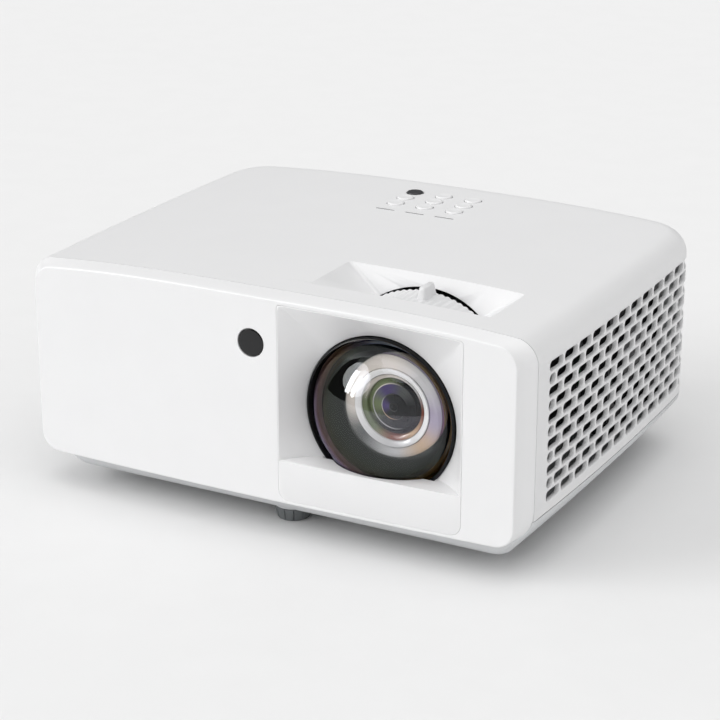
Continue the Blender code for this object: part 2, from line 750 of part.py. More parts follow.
def eye_window():
    """The infrared window: a disc in the plate with a flange behind it."""
    face, flange = EYE_RADIUS, EYE_RADIUS + 2.0
    profile = ((0.0, 107.9), (face - 0.3, 107.9), (face, 107.5), (face, 105.0), (flange, 105.0), (flange, 103.6))
    profile += ((0.0, 103.6),)
    turned("ir_window", "black_window", profile, (EYE_X, 0.0, EYE_Z), "FRONT", 32, closed=False)


def keys():
    for row, y in enumerate(KEY_Y):
        for column, x in enumerate(KEY_X):
            name = KEY_NAMES[row][column]
            top = ROOF_Z + 0.7
            profile = (
                (0.0, top), (KEY_RADIUS - 0.4, top), (KEY_RADIUS, top - 0.4), (KEY_RADIUS, 118.3),
                (5.3, 118.3), (5.3, 116.8), (1.6, 116.8), (1.6, 112.6), (0.0, 112.6),
            )
            local = [(r, h - ROOF_Z) for r, h in profile]
            material = "dark_key" if name == "power_button" else "white_shell"
            turned(name, material, local, (x, y, ROOF_Z), "Z", 14, closed=False)
    for name, x in zip(LED_NAMES, LED_X):
        boxes(name, "light_guide", [((x - 5.0, LED_Y - 0.45, 112.0), (x + 5.0, LED_Y + 0.45, ROOF_Z - 0.05))])
    boxes("keypad_board", "green_board", [((-24.0, 38.0, 109.8), (29.5, 88.0, 111.4))])


# ---------------------------------------------------------------- inside


def fan(name, x, y, towards):
    """A square frame with its impeller; the air leaves towards the side."""
    low_x, high_x = sorted((x, x + towards * FAN_DEPTH))
    half = FAN_SIZE / 2
    low, high = (low_x, y - half, FAN_Z - half), (high_x, y + half, FAN_Z + half)
    frame = boxes(f"{name}_frame", "black_plastic", [(low, high)])
    middle = ((low_x + high_x) / 2, y, FAN_Z)
    cut(frame, rod(f"{name}_bore", None, half - FAN_RIM, -FAN_DEPTH, FAN_DEPTH, middle, "X", 40))
    arm_low, arm_high = sorted((x, x + towards * FAN_ARM))
    for i, (reach_y, reach_z) in enumerate(((half, FAN_ARM), (FAN_ARM, half))):
        low, high = (arm_low, y - reach_y, FAN_Z - reach_z), (arm_high, y + reach_y, FAN_Z + reach_z)
        join(frame, boxes(f"{name}_arm_{i}", None, [(low, high)]))
    centre = (x + towards * FAN_HUB_X, y, FAN_Z)
    hub = rod(f"{name}_impeller", "black_plastic", FAN_HUB, -5.0, 5.0, centre, "X", 28)
    blades = bmesh.new()
    for i in range(FAN_BLADES):
        matrix = Matrix.Translation(centre) @ Matrix.Rotation(math.tau * i / FAN_BLADES, 4, "X")
        matrix = matrix @ Matrix.Translation((0.0, 0.0, FAN_BLADE_Z)) @ Matrix.Rotation(FAN_BLADE_PITCH, 4, "Z")
        matrix = matrix @ Matrix.Diagonal((*FAN_BLADE, 1.0))
        bmesh.ops.create_cube(blades, size=1.0, matrix=matrix)
    return frame, join(hub, place(f"{name}_blades", blades, None))


def finned(name, low, high, base, fins, along_x):
    """A heat sink: a base plate with fins standing on its -X or -Y side."""
    axis = 0 if along_x else 1
    across = 1 - axis
    plate_low = list(low)
    plate_low[axis] = high[axis] - base
    sink = boxes(name, "aluminium", [(tuple(plate_low), high)])
    spans = []
    pitch = (high[across] - low[across] - 1.2) / (fins - 1)
    for i in range(fins):
        start, end = list(low), list(high)
        start[across] = low[across] + pitch * i
        end[across] = start[across] + 1.2
        end[axis] = high[axis] - base / 2
        start[2] += 0.4
        end[2] -= 0.4
        spans.append((tuple(start), tuple(end)))
    return join(sink, boxes(f"{name}_fins", None, spans))


def inside():
    boxes("light_engine", "black_plastic", [((12.0, -18.0, 34.0), (100.0, 34.0, 101.0))])
    boxes("dmd_board", "green_board", [((24.0, 35.0, 40.0), (88.0, 36.6, 98.0))])
    finned("dmd_heat_sink", (34.0, 37.0, 48.0), (78.0, 55.0, 90.0), 3.0, 10, False)
    rod("relay_tube", "black_plastic", 15.0, -14.5, 11.6, (0.0, -6.0, 67.5), "X", 24)
    boxes("laser_module", "aluminium", [((-66.0, -62.0, 36.0), (-16.0, -2.0, 100.0))])
    finned("laser_heat_sink", (-106.0, -70.0, 36.0), (-66.4, 0.0, 102.0), 3.4, 14, True)
    wheel_x, wheel_y, wheel_z = WHEEL_CENTRE
    disc = ((4.0, 0.5), (27.0, 0.5), (27.0, -0.5), (4.0, -0.5))
    turned("phosphor_wheel", "phosphor", disc, (wheel_x, wheel_y, wheel_z), "FRONT", 40)
    motor = ((0.0, 1.4), (3.6, 1.4), (3.6, -1.2), (11.0, -1.2), (11.0, -14.0), (0.0, -14.0))
    turned("phosphor_motor", "steel", motor, (wheel_x, wheel_y, wheel_z), "FRONT", 28, closed=False)
    boxes("main_board", "green_board", [((-72.0, 60.0, 36.0), (106.0, 100.0, 37.6))])
    boxes("power_board", "green_board", [((-100.0, -84.0, 27.0), (4.0, -6.0, 28.6))])
    case = boxes("speaker", "black_plastic", [((-126.0, 20.0, 44.0), (-98.0, 78.0, 96.0))])
    cone = rod("speaker_cone", None, 18.0, -4.0, 10.0, (-124.0, 49.0, 70.0), "X", 32)
    cut(case, cone)
    boxes("emc_shield", "steel", [((-70.0, 62.0, 60.0), (100.0, 96.0, 61.0))])


def sockets():
    front_y, mouth_y = SOCKET_Y
    for name, x, z, width, height, mouth_width, mouth_height in SOCKETS:
        low = (x - width / 2, front_y, z - height / 2)
        high = (x + width / 2, mouth_y, z + height / 2)
        shell = boxes(name, "steel", [(low, high)])
        low = (x - mouth_width / 2, mouth_y - 12.0, z - mouth_height / 2)
        high = (x + mouth_width / 2, mouth_y + 5.0, z + mouth_height / 2)
        cut(shell, boxes(f"{name}_mouth", None, [(low, high)]))
    name, x, z, size = AUDIO
    half = size / 2
    jack = boxes(name, "black_plastic", [((x - half, front_y, z - half), (x + half, mouth_y, z + half))])
    cut(jack, rod("jack_bore", None, 1.8, -110.0, -90.0, (x, 0.0, z), "FRONT", 20))
    x, z, width, height, mouth_width, mouth_height = INLET
    low = (x - width / 2, 84.0, z - height / 2)
    high = (x + width / 2, 104.2, z + height / 2)
    inlet = boxes("ac_inlet", "black_plastic", [(low, high)])
    low = (x - mouth_width / 2, 89.0, z - mouth_height / 2)
    high = (x + mouth_width / 2, 110.0, z + mouth_height / 2)
    cut(inlet, boxes("inlet_mouth", None, [(low, high)]))


# ---------------------------------------------------------------- feet and screws


def feet():
    for name, x, y in FEET:
        stem = ((0.0, 22.0), (3.9, 22.0), (3.9, 6.9), (2.6, 6.9), (2.6, 1.6), (0.0, 1.6))
        turned(f"{name}_stem", "white_shell", stem, (x, y, 0.0), "Z", 20, closed=False)
        pad = ((0.0, 1.2), (2.9, 1.2), (2.9, 6.6), (7.6, 6.6), (9.0, 5.4), (8.2, 0.5), (7.6, 0.0), (0.0, 0.0))
        turned(f"{name}_pad", "grey_rubber", pad, (x, y, 0.0), "Z", 28, closed=False)
    for i, (x, y) in enumerate(SCREWS):
        shank = ((0.0, 24.0), (1.4, 24.0), (1.4, 12.0), (3.0, 12.0), (3.0, 9.6), (0.0, 9.6))
        turned(f"base_screw_{i + 1}", "steel", shank, (x, y, 0.0), "Z", 16, closed=False)


top_cover()
side_grille("right_side_grille", 1)
side_grille("left_side_grille", -1)
front_bezel()
lens_surround()
base_cover()
rear_panel()
lens_parts()
focus_ring()
eye_window()
keys()
fan("right_fan", RIGHT_FAN[0], RIGHT_FAN[1], 1)
fan("left_fan", LEFT_FAN[0], LEFT_FAN[1], -1)
inside()
sockets()
feet()
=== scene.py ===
"""Looks of the home projector: smooth casing with rounded slots, coated dome lens, ribbed focus
ring, keys, sockets and feet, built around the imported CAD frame.

Sizes here are in millimetres in the CAD's own layout, whose front plate stands at PLATE_Y.
"""

import json
import math

import bmesh
import bpy
import numpy as np
from mathutils import Matrix, Vector
from mathutils.bvhtree import BVHTree

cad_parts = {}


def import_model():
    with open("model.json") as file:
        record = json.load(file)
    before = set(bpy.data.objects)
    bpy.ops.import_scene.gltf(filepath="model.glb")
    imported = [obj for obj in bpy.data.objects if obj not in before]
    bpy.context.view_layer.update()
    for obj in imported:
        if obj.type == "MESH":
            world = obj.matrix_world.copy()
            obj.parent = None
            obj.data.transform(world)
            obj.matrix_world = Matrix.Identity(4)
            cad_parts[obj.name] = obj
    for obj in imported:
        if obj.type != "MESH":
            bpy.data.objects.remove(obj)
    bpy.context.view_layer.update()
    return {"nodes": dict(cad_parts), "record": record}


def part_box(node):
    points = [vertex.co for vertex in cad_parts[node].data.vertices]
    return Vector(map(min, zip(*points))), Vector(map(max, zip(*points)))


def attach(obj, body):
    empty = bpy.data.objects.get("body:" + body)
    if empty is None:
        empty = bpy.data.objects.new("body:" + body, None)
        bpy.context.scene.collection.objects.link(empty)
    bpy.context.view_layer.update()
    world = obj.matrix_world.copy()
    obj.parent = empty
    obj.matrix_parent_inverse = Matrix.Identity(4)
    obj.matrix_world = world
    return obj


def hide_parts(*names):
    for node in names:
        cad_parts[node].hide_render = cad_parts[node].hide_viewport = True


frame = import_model()

MM = 0.001
PLATE_Y = -108.0
SHIFT_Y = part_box("front_bezel")[0].y / MM - PLATE_Y

# Casing
HALF_WIDTH = 137.0
SIDE_BULGE = 2.52e-4
SIDE_BULGE_Y = 5.0
REAR_Y = 108.0
REAR_BOW = 3.0
REAR_CORNER = 22.5
SEAM_Y = -96.0
SEAM_GAP = 0.3
ROOF_Z = 121.3
ROOF_CROWN = (2.8, 116.0, 3.0)
SHOULDER = 10.5
SPLIT_Z = 32.0
WALL = 2.5
GRILLE_WALL = 2.4
BAND_TOP_Z = 105.6
BASE_Z = 7.1
BASE_FRONT_Y = -95.6
BASE_ROUND = 12.0
BASE_SIDE = ((31.7, 1.0), (29.0, 2.5), (24.3, 5.0), (19.1, 7.0))
BASE_FRONT_CORNER = 7.0
BASE_FLARE = (  # height, side inset
    (31.7, 0.0), (29.5, 0.3), (27.3, 1.8), (24.3, 4.2),
    (19.1, 8.7), (12.3, 14.5), (8.8, 17.5), (7.1, 19.5),
)
BASE_WALL_TOP = 21.4

# Front
PLATE_SAG = 2.9
PLATE_HALF = 128.7
PLATE_BOTTOM = 20.0
PLATE_TOP = 120.5
PLATE_CROWN = (3.0, 108.0, 3.2)
PLATE_CORNER = 9.5
BAND_HALF = 134.4
BAND_CORNER = 10.5
BAND_LOWER_CORNER = 18.0
BAND_BOTTOM = 19.0
PANEL_LEFT = 9.3
PANEL_RIGHT = 102.9
PANEL_BOTTOM = 21.9
PANEL_TOP_MARGIN = 2.3
PANEL_CORNER = 5.5
PANEL_TOP_CORNER = 1.6
PANEL_BACK_Y = -92.0
LEDGE_Z = 41.8
FLOOR_BACK_Z = 42.2
EYE = (-4.85, 97.5, 6.95)

# Lens
LENS_X = 55.6
LENS_Z = 67.5
LENS_CENTRE = (LENS_X, 0.0, LENS_Z)
MOUTH_Y = -93.8
MOUTH_RADIUS = 38.7
RING_RADIUS = 38.1
DOME_RADIUS = 38.5
DOME_DEPTH = 29.8
DOME_APEX_Y = -112.5
DOME_RIM = 37.0
FOCUS_RADIUS = 47.5
FOCUS_BORE = 43.0
FOCUS_FRONT_Y = -74.5
FOCUS_BACK_Y = -47.7
WELL_TOP = (11.9, 107.2, -81.4, -42.5)
WELL_FLOOR = (36.0, 83.0, -75.0, -48.5)
WELL_FLOOR_Z = 104.0

# Slots
SLOT_ROWS = 11
SLOT_TOP_Z = 102.2
SLOT_STEP_Z = 6.27
SLOT_HEIGHT = 5.05
SLOT_LENGTH = 13.8
SLOT_CORNER = 2.05
SLOT_SOFT = 0.22
HALF_SLOT_LENGTH = 6.5
LAST_SLOT_LENGTH = 5.4
SLOT_START_Y = -77.2
SLOT_STEP_Y = 15.25
SLOTS_IN_ROW = 12

# Controls
KEY_X = (-14.5, 2.4, 19.4)
KEY_Y = (78.8, 67.5, 56.3)
KEY_NAMES = (
    ("power_button", "menu_button", "source_button"),
    ("left_button", "enter_button", "right_button"),
    ("info_button", "down_button", "resync_button"),
)
KEY_RADIUS = 4.35
KEY_HOLE = 4.7
LED_Y = 44.0
LED_X = (-14.1, 2.7, 19.7)
LED_SLOT = (11.0, 1.5)
LED_GUIDE = (10.6, 1.16)

# Rear
REAR_PANEL = (-111.0, 111.0, 35.5, 98.0)
REAR_PANEL_Y = (101.0, 103.0)
SOCKET_Y = (86.0, 104.4)
REAR_VENTS = 8
REAR_VENT_Z = 60.0
REAR_VENT_STEP = 4.4
REAR_VENT_HEIGHT = 2.2

SOCKETS = {
    "hdmi_1": (72.0, 45.0, 16.0, 7.4, 14.2, 4.9),
    "hdmi_2": (48.0, 45.0, 16.0, 7.4, 14.2, 4.9),
    "usb_port": (25.0, 45.5, 14.6, 8.0, 12.6, 5.2),
    "network_port": (1.0, 47.0, 16.4, 13.6, 12.0, 8.6),
    "serial_port": (-49.0, 46.5, 31.0, 12.6, 17.2, 8.6),
}
AUDIO = (-21.0, 45.5, 8.6)
INLET = (-84.0, 74.0, 30.0, 24.0, 24.4, 16.2)

# Underside
FEET = {"front_foot": (0.0, -78.0), "rear_left_foot": (-100.0, 72.0), "rear_right_foot": (100.0, 72.0)}
SCREWS = ((-104.0, -62.0), (104.0, -62.0), (-62.0, 84.0), (62.0, 84.0))
CEILING_BOSSES = ((-70.0, -40.0), (70.0, -40.0), (0.0, 60.0))
THREAD_PITCH = 1.25
THREAD_TURNS = 11
PAD_NOTCHES = 12
PAD_STEPS = 12
PAD_NOTCH = 0.7
BASE_VENTS = 9
BASE_VENT_X = -40.0
BASE_VENT_STEP = 7.0
BASE_VENT_WIDTH = 3.0

# Focus ring
FOCUS_RIBS = 88
TAB = (57.1, 61.7, -62.0, -48.2)
TAB_HEIGHT = 5.4
DOME_WALL = 2.6


# ---------------------------------------------------------------- shape helpers


def new_object(name, mesh):
    obj = bpy.data.objects.new(name, mesh)
    bpy.context.scene.collection.objects.link(obj)
    return obj


def from_bmesh(name, bm):
    """An object from a bmesh in millimetres of the CAD's layout."""
    bm.transform(Matrix.Translation((0.0, SHIFT_Y, 0.0)))
    bm.transform(Matrix.Scale(MM, 4))
    mesh = bpy.data.meshes.new(name)
    bm.to_mesh(mesh)
    bm.free()
    mesh.shade_smooth()
    return new_object(name, mesh)


def world(x, y, z):
    return Vector((x, y + SHIFT_Y, z)) * MM


def add_walls(bm, levels, closed=True):
    """Quads between each pair of neighbouring rings of vertices."""
    count = len(levels[0])
    for lower, upper in zip(levels, levels[1:]):
        for i in range(count if closed else count - 1):
            j = (i + 1) % count
            bm.faces.new((lower[i], lower[j], upper[j], upper[i]))


def loft(name, rings, caps=(True, True), closed=True):
    """A mesh through rings of equal length. A cap joins each ring's two mirrored halves."""
    bm = bmesh.new()
    levels = [[bm.verts.new(point) for point in ring] for ring in rings]
    count = len(rings[0])
    add_walls(bm, levels, closed)
    for level, wanted in zip((levels[0], levels[-1]), caps):
        if wanted:
            for i in range(count // 2 - 1):
                bm.faces.new([level[k] for k in (i, i + 1, count - 2 - i, count - 1 - i)])
    bmesh.ops.recalc_face_normals(bm, faces=bm.faces)
    return from_bmesh(name, bm)


def apply_modifiers(obj):
    graph = bpy.context.evaluated_depsgraph_get()
    mesh = bpy.data.meshes.new_from_object(obj.evaluated_get(graph))
    old = obj.data
    obj.modifiers.clear()
    obj.data = mesh
    bpy.data.meshes.remove(old)
    return obj


def soften(obj, width, angle):
    """Rounds every edge sharper than the angle, in two steps."""
    bevel = obj.modifiers.new("bevel", "BEVEL")
    bevel.width = width * MM
    bevel.segments = 2
    bevel.limit_method = "ANGLE"
    bevel.angle_limit = math.radians(angle)
    return apply_modifiers(obj)


def boolean(obj, other, operation="DIFFERENCE"):
    """Cuts or joins at once, and removes the other object."""
    modifier = obj.modifiers.new("boolean", "BOOLEAN")
    modifier.operation = operation
    modifier.object = other
    modifier.solver = "EXACT"
    apply_modifiers(obj)
    bpy.data.objects.remove(other, do_unlink=True)
    return obj


def repair_normals(obj, references, near=0.06, angle=35.0, agree=0.9):
    """Smooth shading with sharp edges, where faces that lie on a reference surface take its
    normals, so that cuts leave no trace in the shading around them."""
    mesh = obj.data
    mesh.shade_smooth()
    mesh.set_sharp_from_angle(angle=math.radians(angle))
    normals = [Vector(c.vector) for c in mesh.corner_normals]
    graph = bpy.context.evaluated_depsgraph_get()
    trees = []
    for reference in references:
        source = reference.evaluated_get(graph).to_mesh()
        tree = BVHTree.FromPolygons(
            [v.co.copy() for v in source.vertices], [tuple(p.vertices) for p in source.polygons]
        )
        smooth = [v.normal.copy() for v in source.vertices]
        points = [v.co.copy() for v in source.vertices]
        trees.append((tree, [tuple(p.vertices) for p in source.polygons], points, smooth))
    for polygon in mesh.polygons:
        for loop in polygon.loop_indices:
            place = mesh.vertices[mesh.loops[loop].vertex_index].co
            for tree, faces, points, smooth in trees:
                hit, _, index, distance = tree.find_nearest(place, near * MM)
                if hit is None:
                    continue
                weights = [1.0 / (1e-9 + (points[k] - hit).length_squared) for k in faces[index]]
                normal = sum((smooth[k] * w for k, w in zip(faces[index], weights)), Vector())
                normal.normalize()
                if normal.dot(polygon.normal) > agree:
                    normals[loop] = normal
                    break
    mesh.normals_split_custom_set(normals)
    for reference in references:
        bpy.data.objects.remove(reference, do_unlink=True)
    return obj


def arc(centre_x, centre_y, radius, start, end, steps):
    for i in range(steps + 1):
        angle = math.radians(start + (end - start) * i / steps)
        yield centre_x + radius * math.cos(angle), centre_y + radius * math.sin(angle)


def turned(name, profile, centre, axis="Z", steps=64):
    """A turned mesh; profile points are (radius, height), with height along +Z or to the front."""
    bm = bmesh.new()
    loops = []
    for radius, height in profile:
        if radius < 1e-6:
            loops.append([bm.verts.new(turned_point(0.0, 0.0, height, centre, axis))])
            continue
        loop = []
        for i in range(steps):
            angle = math.tau * i / steps
            loop.append(bm.verts.new(turned_point(
                radius * math.cos(angle), radius * math.sin(angle), height, centre, axis
            )))
        loops.append(loop)
    for first, second in zip(loops, loops[1:]):
        for i in range(steps):
            j = (i + 1) % steps
            corners = [first[i % len(first)], first[j % len(first)]]
            corners += [second[j % len(second)], second[i % len(second)]]
            bm.faces.new(list(dict.fromkeys(corners)))
    bmesh.ops.recalc_face_normals(bm, faces=bm.faces)
    return from_bmesh(name, bm)


def turned_point(u, v, height, centre, axis):
    x, y, z = centre
    if axis == "FRONT":
        return x + u, y - height, z + v
    if axis == "X":
        return x + height, y + u, z + v
    return x + u, y + v, z + height


def sharpen(obj, angle=35.0):
    obj.data.shade_smooth()
    obj.data.set_sharp_from_angle(angle=math.radians(angle))
    return obj


# ---------------------------------------------------------------- casing outlines


def crown(x, shape):
    drop, at, power = shape
    return drop * (abs(x) / at) ** power


def half_width(y):
    return HALF_WIDTH - SIDE_BULGE * (y - SIDE_BULGE_Y) ** 2


def plate_y(x):
    return PLATE_Y + PLATE_SAG * (x / PLATE_HALF) ** 2


def plate_top(x):
    return PLATE_TOP - crown(x, PLATE_CROWN)


def roof_top(x):
    return ROOF_Z - crown(x, ROOF_CROWN)


def panel_top(x):
    return plate_top(x) - PANEL_TOP_MARGIN


def half_plan(inset, front_y, front_corner, arc_steps=16, side_steps=20, rear_steps=12):
    """The right half of the casing's outline in plan, from the front to the rear."""
    points = []
    side_start = front_y
    if front_corner:
        radius = max(front_corner - inset, 0.5)
        side_start = front_y + radius
        edge = half_width(side_start) - inset
        points += arc(edge - radius, side_start, radius, -90, 0, arc_steps)
    radius = max(REAR_CORNER - inset, 0.5)
    side_end = REAR_Y - inset - radius
    for i in range(1 if front_corner else 0, side_steps):
        y = side_start + (side_end - REAR_BOW - side_start) * i / side_steps
        points.append((half_width(y) - inset, y))
    edge = half_width(side_end) - inset
    for x, y in arc(edge - radius, side_end, radius, 0, 90, arc_steps):
        points.append((x, y - REAR_BOW * (x / HALF_WIDTH) ** 2))
    for i in range(1, rear_steps):
        x = (edge - radius) * (1 - i / rear_steps)
        points.append((x, REAR_Y - inset - REAR_BOW * (x / HALF_WIDTH) ** 2))
    return points


def plan_ring(half):
    return half + [(-x, y) for x, y in reversed(half)]


def roof_rings(inset, front_y, bottom_z):
    rings = [[(x, y, bottom_z) for x, y in plan_ring(half_plan(inset, front_y, 0.0))]]
    radius = SHOULDER - inset
    for i in range(9):
        angle = math.radians(90 * i / 8)
        ring = plan_ring(half_plan(inset + radius * (1 - math.cos(angle)), front_y, 0.0))
        fall = radius * (1 - math.sin(angle)) + inset
        rings.append([(x, y, roof_top(x) - fall) for x, y in ring])
    for depth in (14.0, 20.0, 28.0, 38.0, 50.0, 64.0, 80.0, 98.0, 116.0):
        ring = plan_ring(half_plan(depth, front_y, 0.0))
        rings.append([(x, y, roof_top(x) - inset) for x, y in ring])
    return rings


def edge_spans(left, right, reach, corner_steps=12, middle_steps=40):
    spans = []
    for i in range(corner_steps):
        angle = math.radians(90 * i / corner_steps)
        spans.append(left + reach * (1 - math.cos(angle)))
    for i in range(middle_steps + 1):
        spans.append(left + reach + (right - left - 2 * reach) * i / middle_steps)
    return spans + [left + right - x for x in reversed(spans[:corner_steps])]


def corner_pull(x, left, right, radius):
    reach = radius - min(x - left, right - x)
    return radius - math.sqrt(max(radius**2 - reach**2, 0.0)) if reach > 0.0 else 0.0


def upright_ring(spans, bottom, top, y_of, upper_corner, lower_corner):
    """A ring standing in XZ: the upper edge from left to right, then the lower edge back."""
    left, right = spans[0], spans[-1]
    upper = [(x, y_of(x), top(x) - corner_pull(x, left, right, upper_corner)) for x in spans]
    lower = [(x, y_of(x), bottom + corner_pull(x, left, right, lower_corner)) for x in spans]
    return upper + lower[::-1]


def plate_ring(inset, back):
    """The front plate's outline, pulled in and set back."""
    spans = edge_spans(-PLATE_HALF + inset, PLATE_HALF - inset, BAND_LOWER_CORNER)
    corner = max(PLATE_CORNER - inset, 0.5)
    return upright_ring(
        spans, PLATE_BOTTOM + inset, lambda x: plate_top(x) - inset,
        lambda x: plate_y(x) + back, corner, corner,
    )


def band_ring(inset, y):
    """The outline where the band meets the cover."""
    spans = edge_spans(-BAND_HALF + inset, BAND_HALF - inset, BAND_LOWER_CORNER)
    return upright_ring(
        spans, BAND_BOTTOM + inset, lambda x: roof_top(x) - inset, lambda x: y,
        BAND_CORNER - inset, BAND_LOWER_CORNER - inset,
    )


def panel_ring(inset, y_of):
    spans = edge_spans(PANEL_LEFT + inset, PANEL_RIGHT - inset, PANEL_CORNER, 14, 20)
    upper, lower = max(PANEL_TOP_CORNER - inset, 0.5), max(PANEL_CORNER - inset, 0.5)
    return upright_ring(spans, PANEL_BOTTOM + inset, lambda x: panel_top(x) - inset, y_of, upper, lower)


# ---------------------------------------------------------------- casing pieces


def plan_lookup(inset=0.0):
    """Arc length, place and outward normal along the casing's side and rear walls."""
    points = np.array(plan_ring(half_plan(inset, SEAM_Y + SEAM_GAP, 0.0, 40, 60, 40)))
    steps = np.linalg.norm(np.diff(points, axis=0), axis=1)
    keep = np.concatenate([[True], steps > 1e-6])
    points = points[keep]
    steps = np.linalg.norm(np.diff(points, axis=0), axis=1)
    along = np.concatenate([[0.0], np.cumsum(steps)])
    tangent = np.gradient(points, along, axis=0)
    tangent /= np.linalg.norm(tangent, axis=1)[:, None]
    normal = np.stack([tangent[:, 1], -tangent[:, 0]], axis=1)
    return along, points, normal


def rounded_outline(low_x, high_x, low_y, high_y, radius, steps=5):
    points = []
    for cx, cy, start in (
        (high_x - radius, high_y - radius, 0), (low_x + radius, high_y - radius, 90),
        (low_x + radius, low_y + radius, 180), (high_x - radius, low_y + radius, 270),
    ):
        points += arc(cx, cy, radius, start, start + 90, steps)
    return points


def centred(x, y, width, height, radius, steps):
    """A rounded outline around a centre."""
    half_w, half_h = width / 2, height / 2
    return rounded_outline(x - half_w, x + half_w, y - half_h, y + half_h, radius, steps)


def slot_row(row):
    """(distance from the seam, length) of each slot's centre in a row."""
    start = SLOT_START_Y - SEAM_Y - SEAM_GAP
    if row % 2:
        yield start - SLOT_LENGTH / 2 + HALF_SLOT_LENGTH / 2, HALF_SLOT_LENGTH
    for column in range(SLOTS_IN_ROW - row % 2):
        yield start + (column + 0.5 * (row % 2)) * SLOT_STEP_Y, SLOT_LENGTH
    if row % 2:
        last = start + (SLOTS_IN_ROW - 1) * SLOT_STEP_Y
        yield last + SLOT_LENGTH / 2 - HALF_SLOT_LENGTH / 2 + 0.6, LAST_SLOT_LENGTH


def slotted_band(name):
    """Side and rear walls as one flat pierced sheet with rounded edges, bent around the plan."""
    along, points, normal = plan_lookup()
    total = along[-1]
    curve = bpy.data.curves.new(name, "CURVE")
    curve.dimensions = "2D"
    curve.fill_mode = "BOTH"
    curve.bevel_depth = SLOT_SOFT * MM
    curve.bevel_resolution = 1
    curve.extrude = (GRILLE_WALL / 2 - SLOT_SOFT) * MM
    curve.offset = -SLOT_SOFT * MM
    outlines = [rounded_outline(0.0, total, SPLIT_Z, BAND_TOP_Z, 0.05, 1)]
    for row in range(SLOT_ROWS):
        z = SLOT_TOP_Z - row * SLOT_STEP_Z
        for s, length in slot_row(row):
            for centre in (s, total - s):
                corner = SLOT_CORNER if length == SLOT_LENGTH else SLOT_HEIGHT / 2 - 0.05
                outlines.append(centred(centre, z, length, SLOT_HEIGHT, corner, 7))
    rear_left, rear_right, low, high = REAR_PANEL
    middle = total / 2
    outlines.append(rounded_outline(middle + rear_left, middle + rear_right, low, high, 3.0))
    for outline in outlines:
        spline = curve.splines.new("POLY")
        spline.points.add(len(outline) - 1)
        for point, (s, z) in zip(spline.points, outline):
            point.co = (s * MM, z * MM, 0.0, 1.0)
        spline.use_cyclic_u = True
    flat = new_object(name, curve)
    graph = bpy.context.evaluated_depsgraph_get()
    mesh = bpy.data.meshes.new_from_object(flat.evaluated_get(graph))
    bpy.data.objects.remove(flat, do_unlink=True)
    bm = bmesh.new()
    bm.from_mesh(mesh)
    bpy.data.meshes.remove(mesh)
    bmesh.ops.scale(bm, vec=(1 / MM,) * 3, verts=bm.verts)
    bmesh.ops.remove_doubles(bm, verts=bm.verts, dist=0.002)
    side = np.arange(8.0, 175.0, 18.0)
    corner = np.arange(176.0, 222.0, 2.5)
    rear = np.arange(226.0, total / 2, 14.0)
    bends = np.concatenate([side, corner, rear])
    for cut in np.concatenate([bends, total - bends]):
        geometry = bm.verts[:] + bm.edges[:] + bm.faces[:]
        bmesh.ops.bisect_plane(
            bm, geom=geometry, plane_co=(cut, 0, 0), plane_no=(1, 0, 0), dist=1e-4
        )
    faces_out = [f.normal.z > 0.95 for f in bm.faces]
    facing = bm.faces.layers.int.new("facing")
    for face, out in zip(bm.faces, faces_out):
        face[facing] = int(out)
    for v in bm.verts:
        s, z, d = v.co
        place = [np.interp(s, along, points[:, k]) for k in (0, 1)]
        out = np.array([np.interp(s, along, normal[:, k]) for k in (0, 1)])
        out /= np.linalg.norm(out)
        depth = d - GRILLE_WALL / 2
        v.co = (place[0] + out[0] * depth, place[1] + out[1] * depth, z)
    bmesh.ops.recalc_face_normals(bm, faces=bm.faces)
    obj = from_bmesh(name, bm)
    mesh = obj.data
    mesh.set_sharp_from_angle(angle=math.radians(50))
    normals = [Vector(c.vector) for c in mesh.corner_normals]
    facing = mesh.attributes["facing"].data
    for polygon in mesh.polygons:
        if not facing[polygon.index].value:
            continue
        for loop in polygon.loop_indices:
            place = mesh.vertices[mesh.loops[loop].vertex_index].co / MM
            normals[loop] = plan_normal(place.x, place.y - SHIFT_Y)
    mesh.normals_split_custom_set(normals)
    mesh.attributes.remove(mesh.attributes["facing"])
    return obj


def plan_normal(x, y):
    """The casing wall's outward normal near a point on it."""
    corner_y = REAR_Y - REAR_CORNER
    corner_x = half_width(corner_y) - REAR_CORNER
    side = 1.0 if x > 0 else -1.0
    if abs(x) > corner_x and y <= corner_y - REAR_BOW:
        normal = Vector((side, 2 * SIDE_BULGE * (y - SIDE_BULGE_Y), 0.0))
    elif abs(x) > corner_x:
        lift = y + REAR_BOW * (x / HALF_WIDTH) ** 2
        normal = Vector((side * (abs(x) - corner_x), max(lift - corner_y, 0.0), 0.0))
        normal.x += normal.y * 2 * REAR_BOW * x / HALF_WIDTH**2
    else:
        normal = Vector((2 * REAR_BOW * x / HALF_WIDTH**2, 1.0, 0.0))
    return normal.normalized()


def frustum(name, top, top_z, floor, floor_z, corner=0.0):
    """A tapered block between two rectangles, its upright edges rounded by the corner radius."""
    rings = []
    for (left, right, front, back), z_of in ((floor, lambda x: floor_z), (top, top_z)):
        if corner:
            outline = rounded_outline(left, right, front, back, corner, 6)
        else:
            outline = [(left, front), (right, front), (right, back), (left, back)]
        rings.append([(x, y, z_of(x)) for x, y in outline])
    bm = bmesh.new()
    levels = [[bm.verts.new(point) for point in ring] for ring in rings]
    add_walls(bm, levels)
    bm.faces.new(levels[0][::-1])
    bm.faces.new(levels[1])
    bmesh.ops.recalc_face_normals(bm, faces=bm.faces)
    return from_bmesh(name, bm)


def grown(rectangle, by):
    return rectangle[0] - by, rectangle[1] + by, rectangle[2] - by, rectangle[3] + by


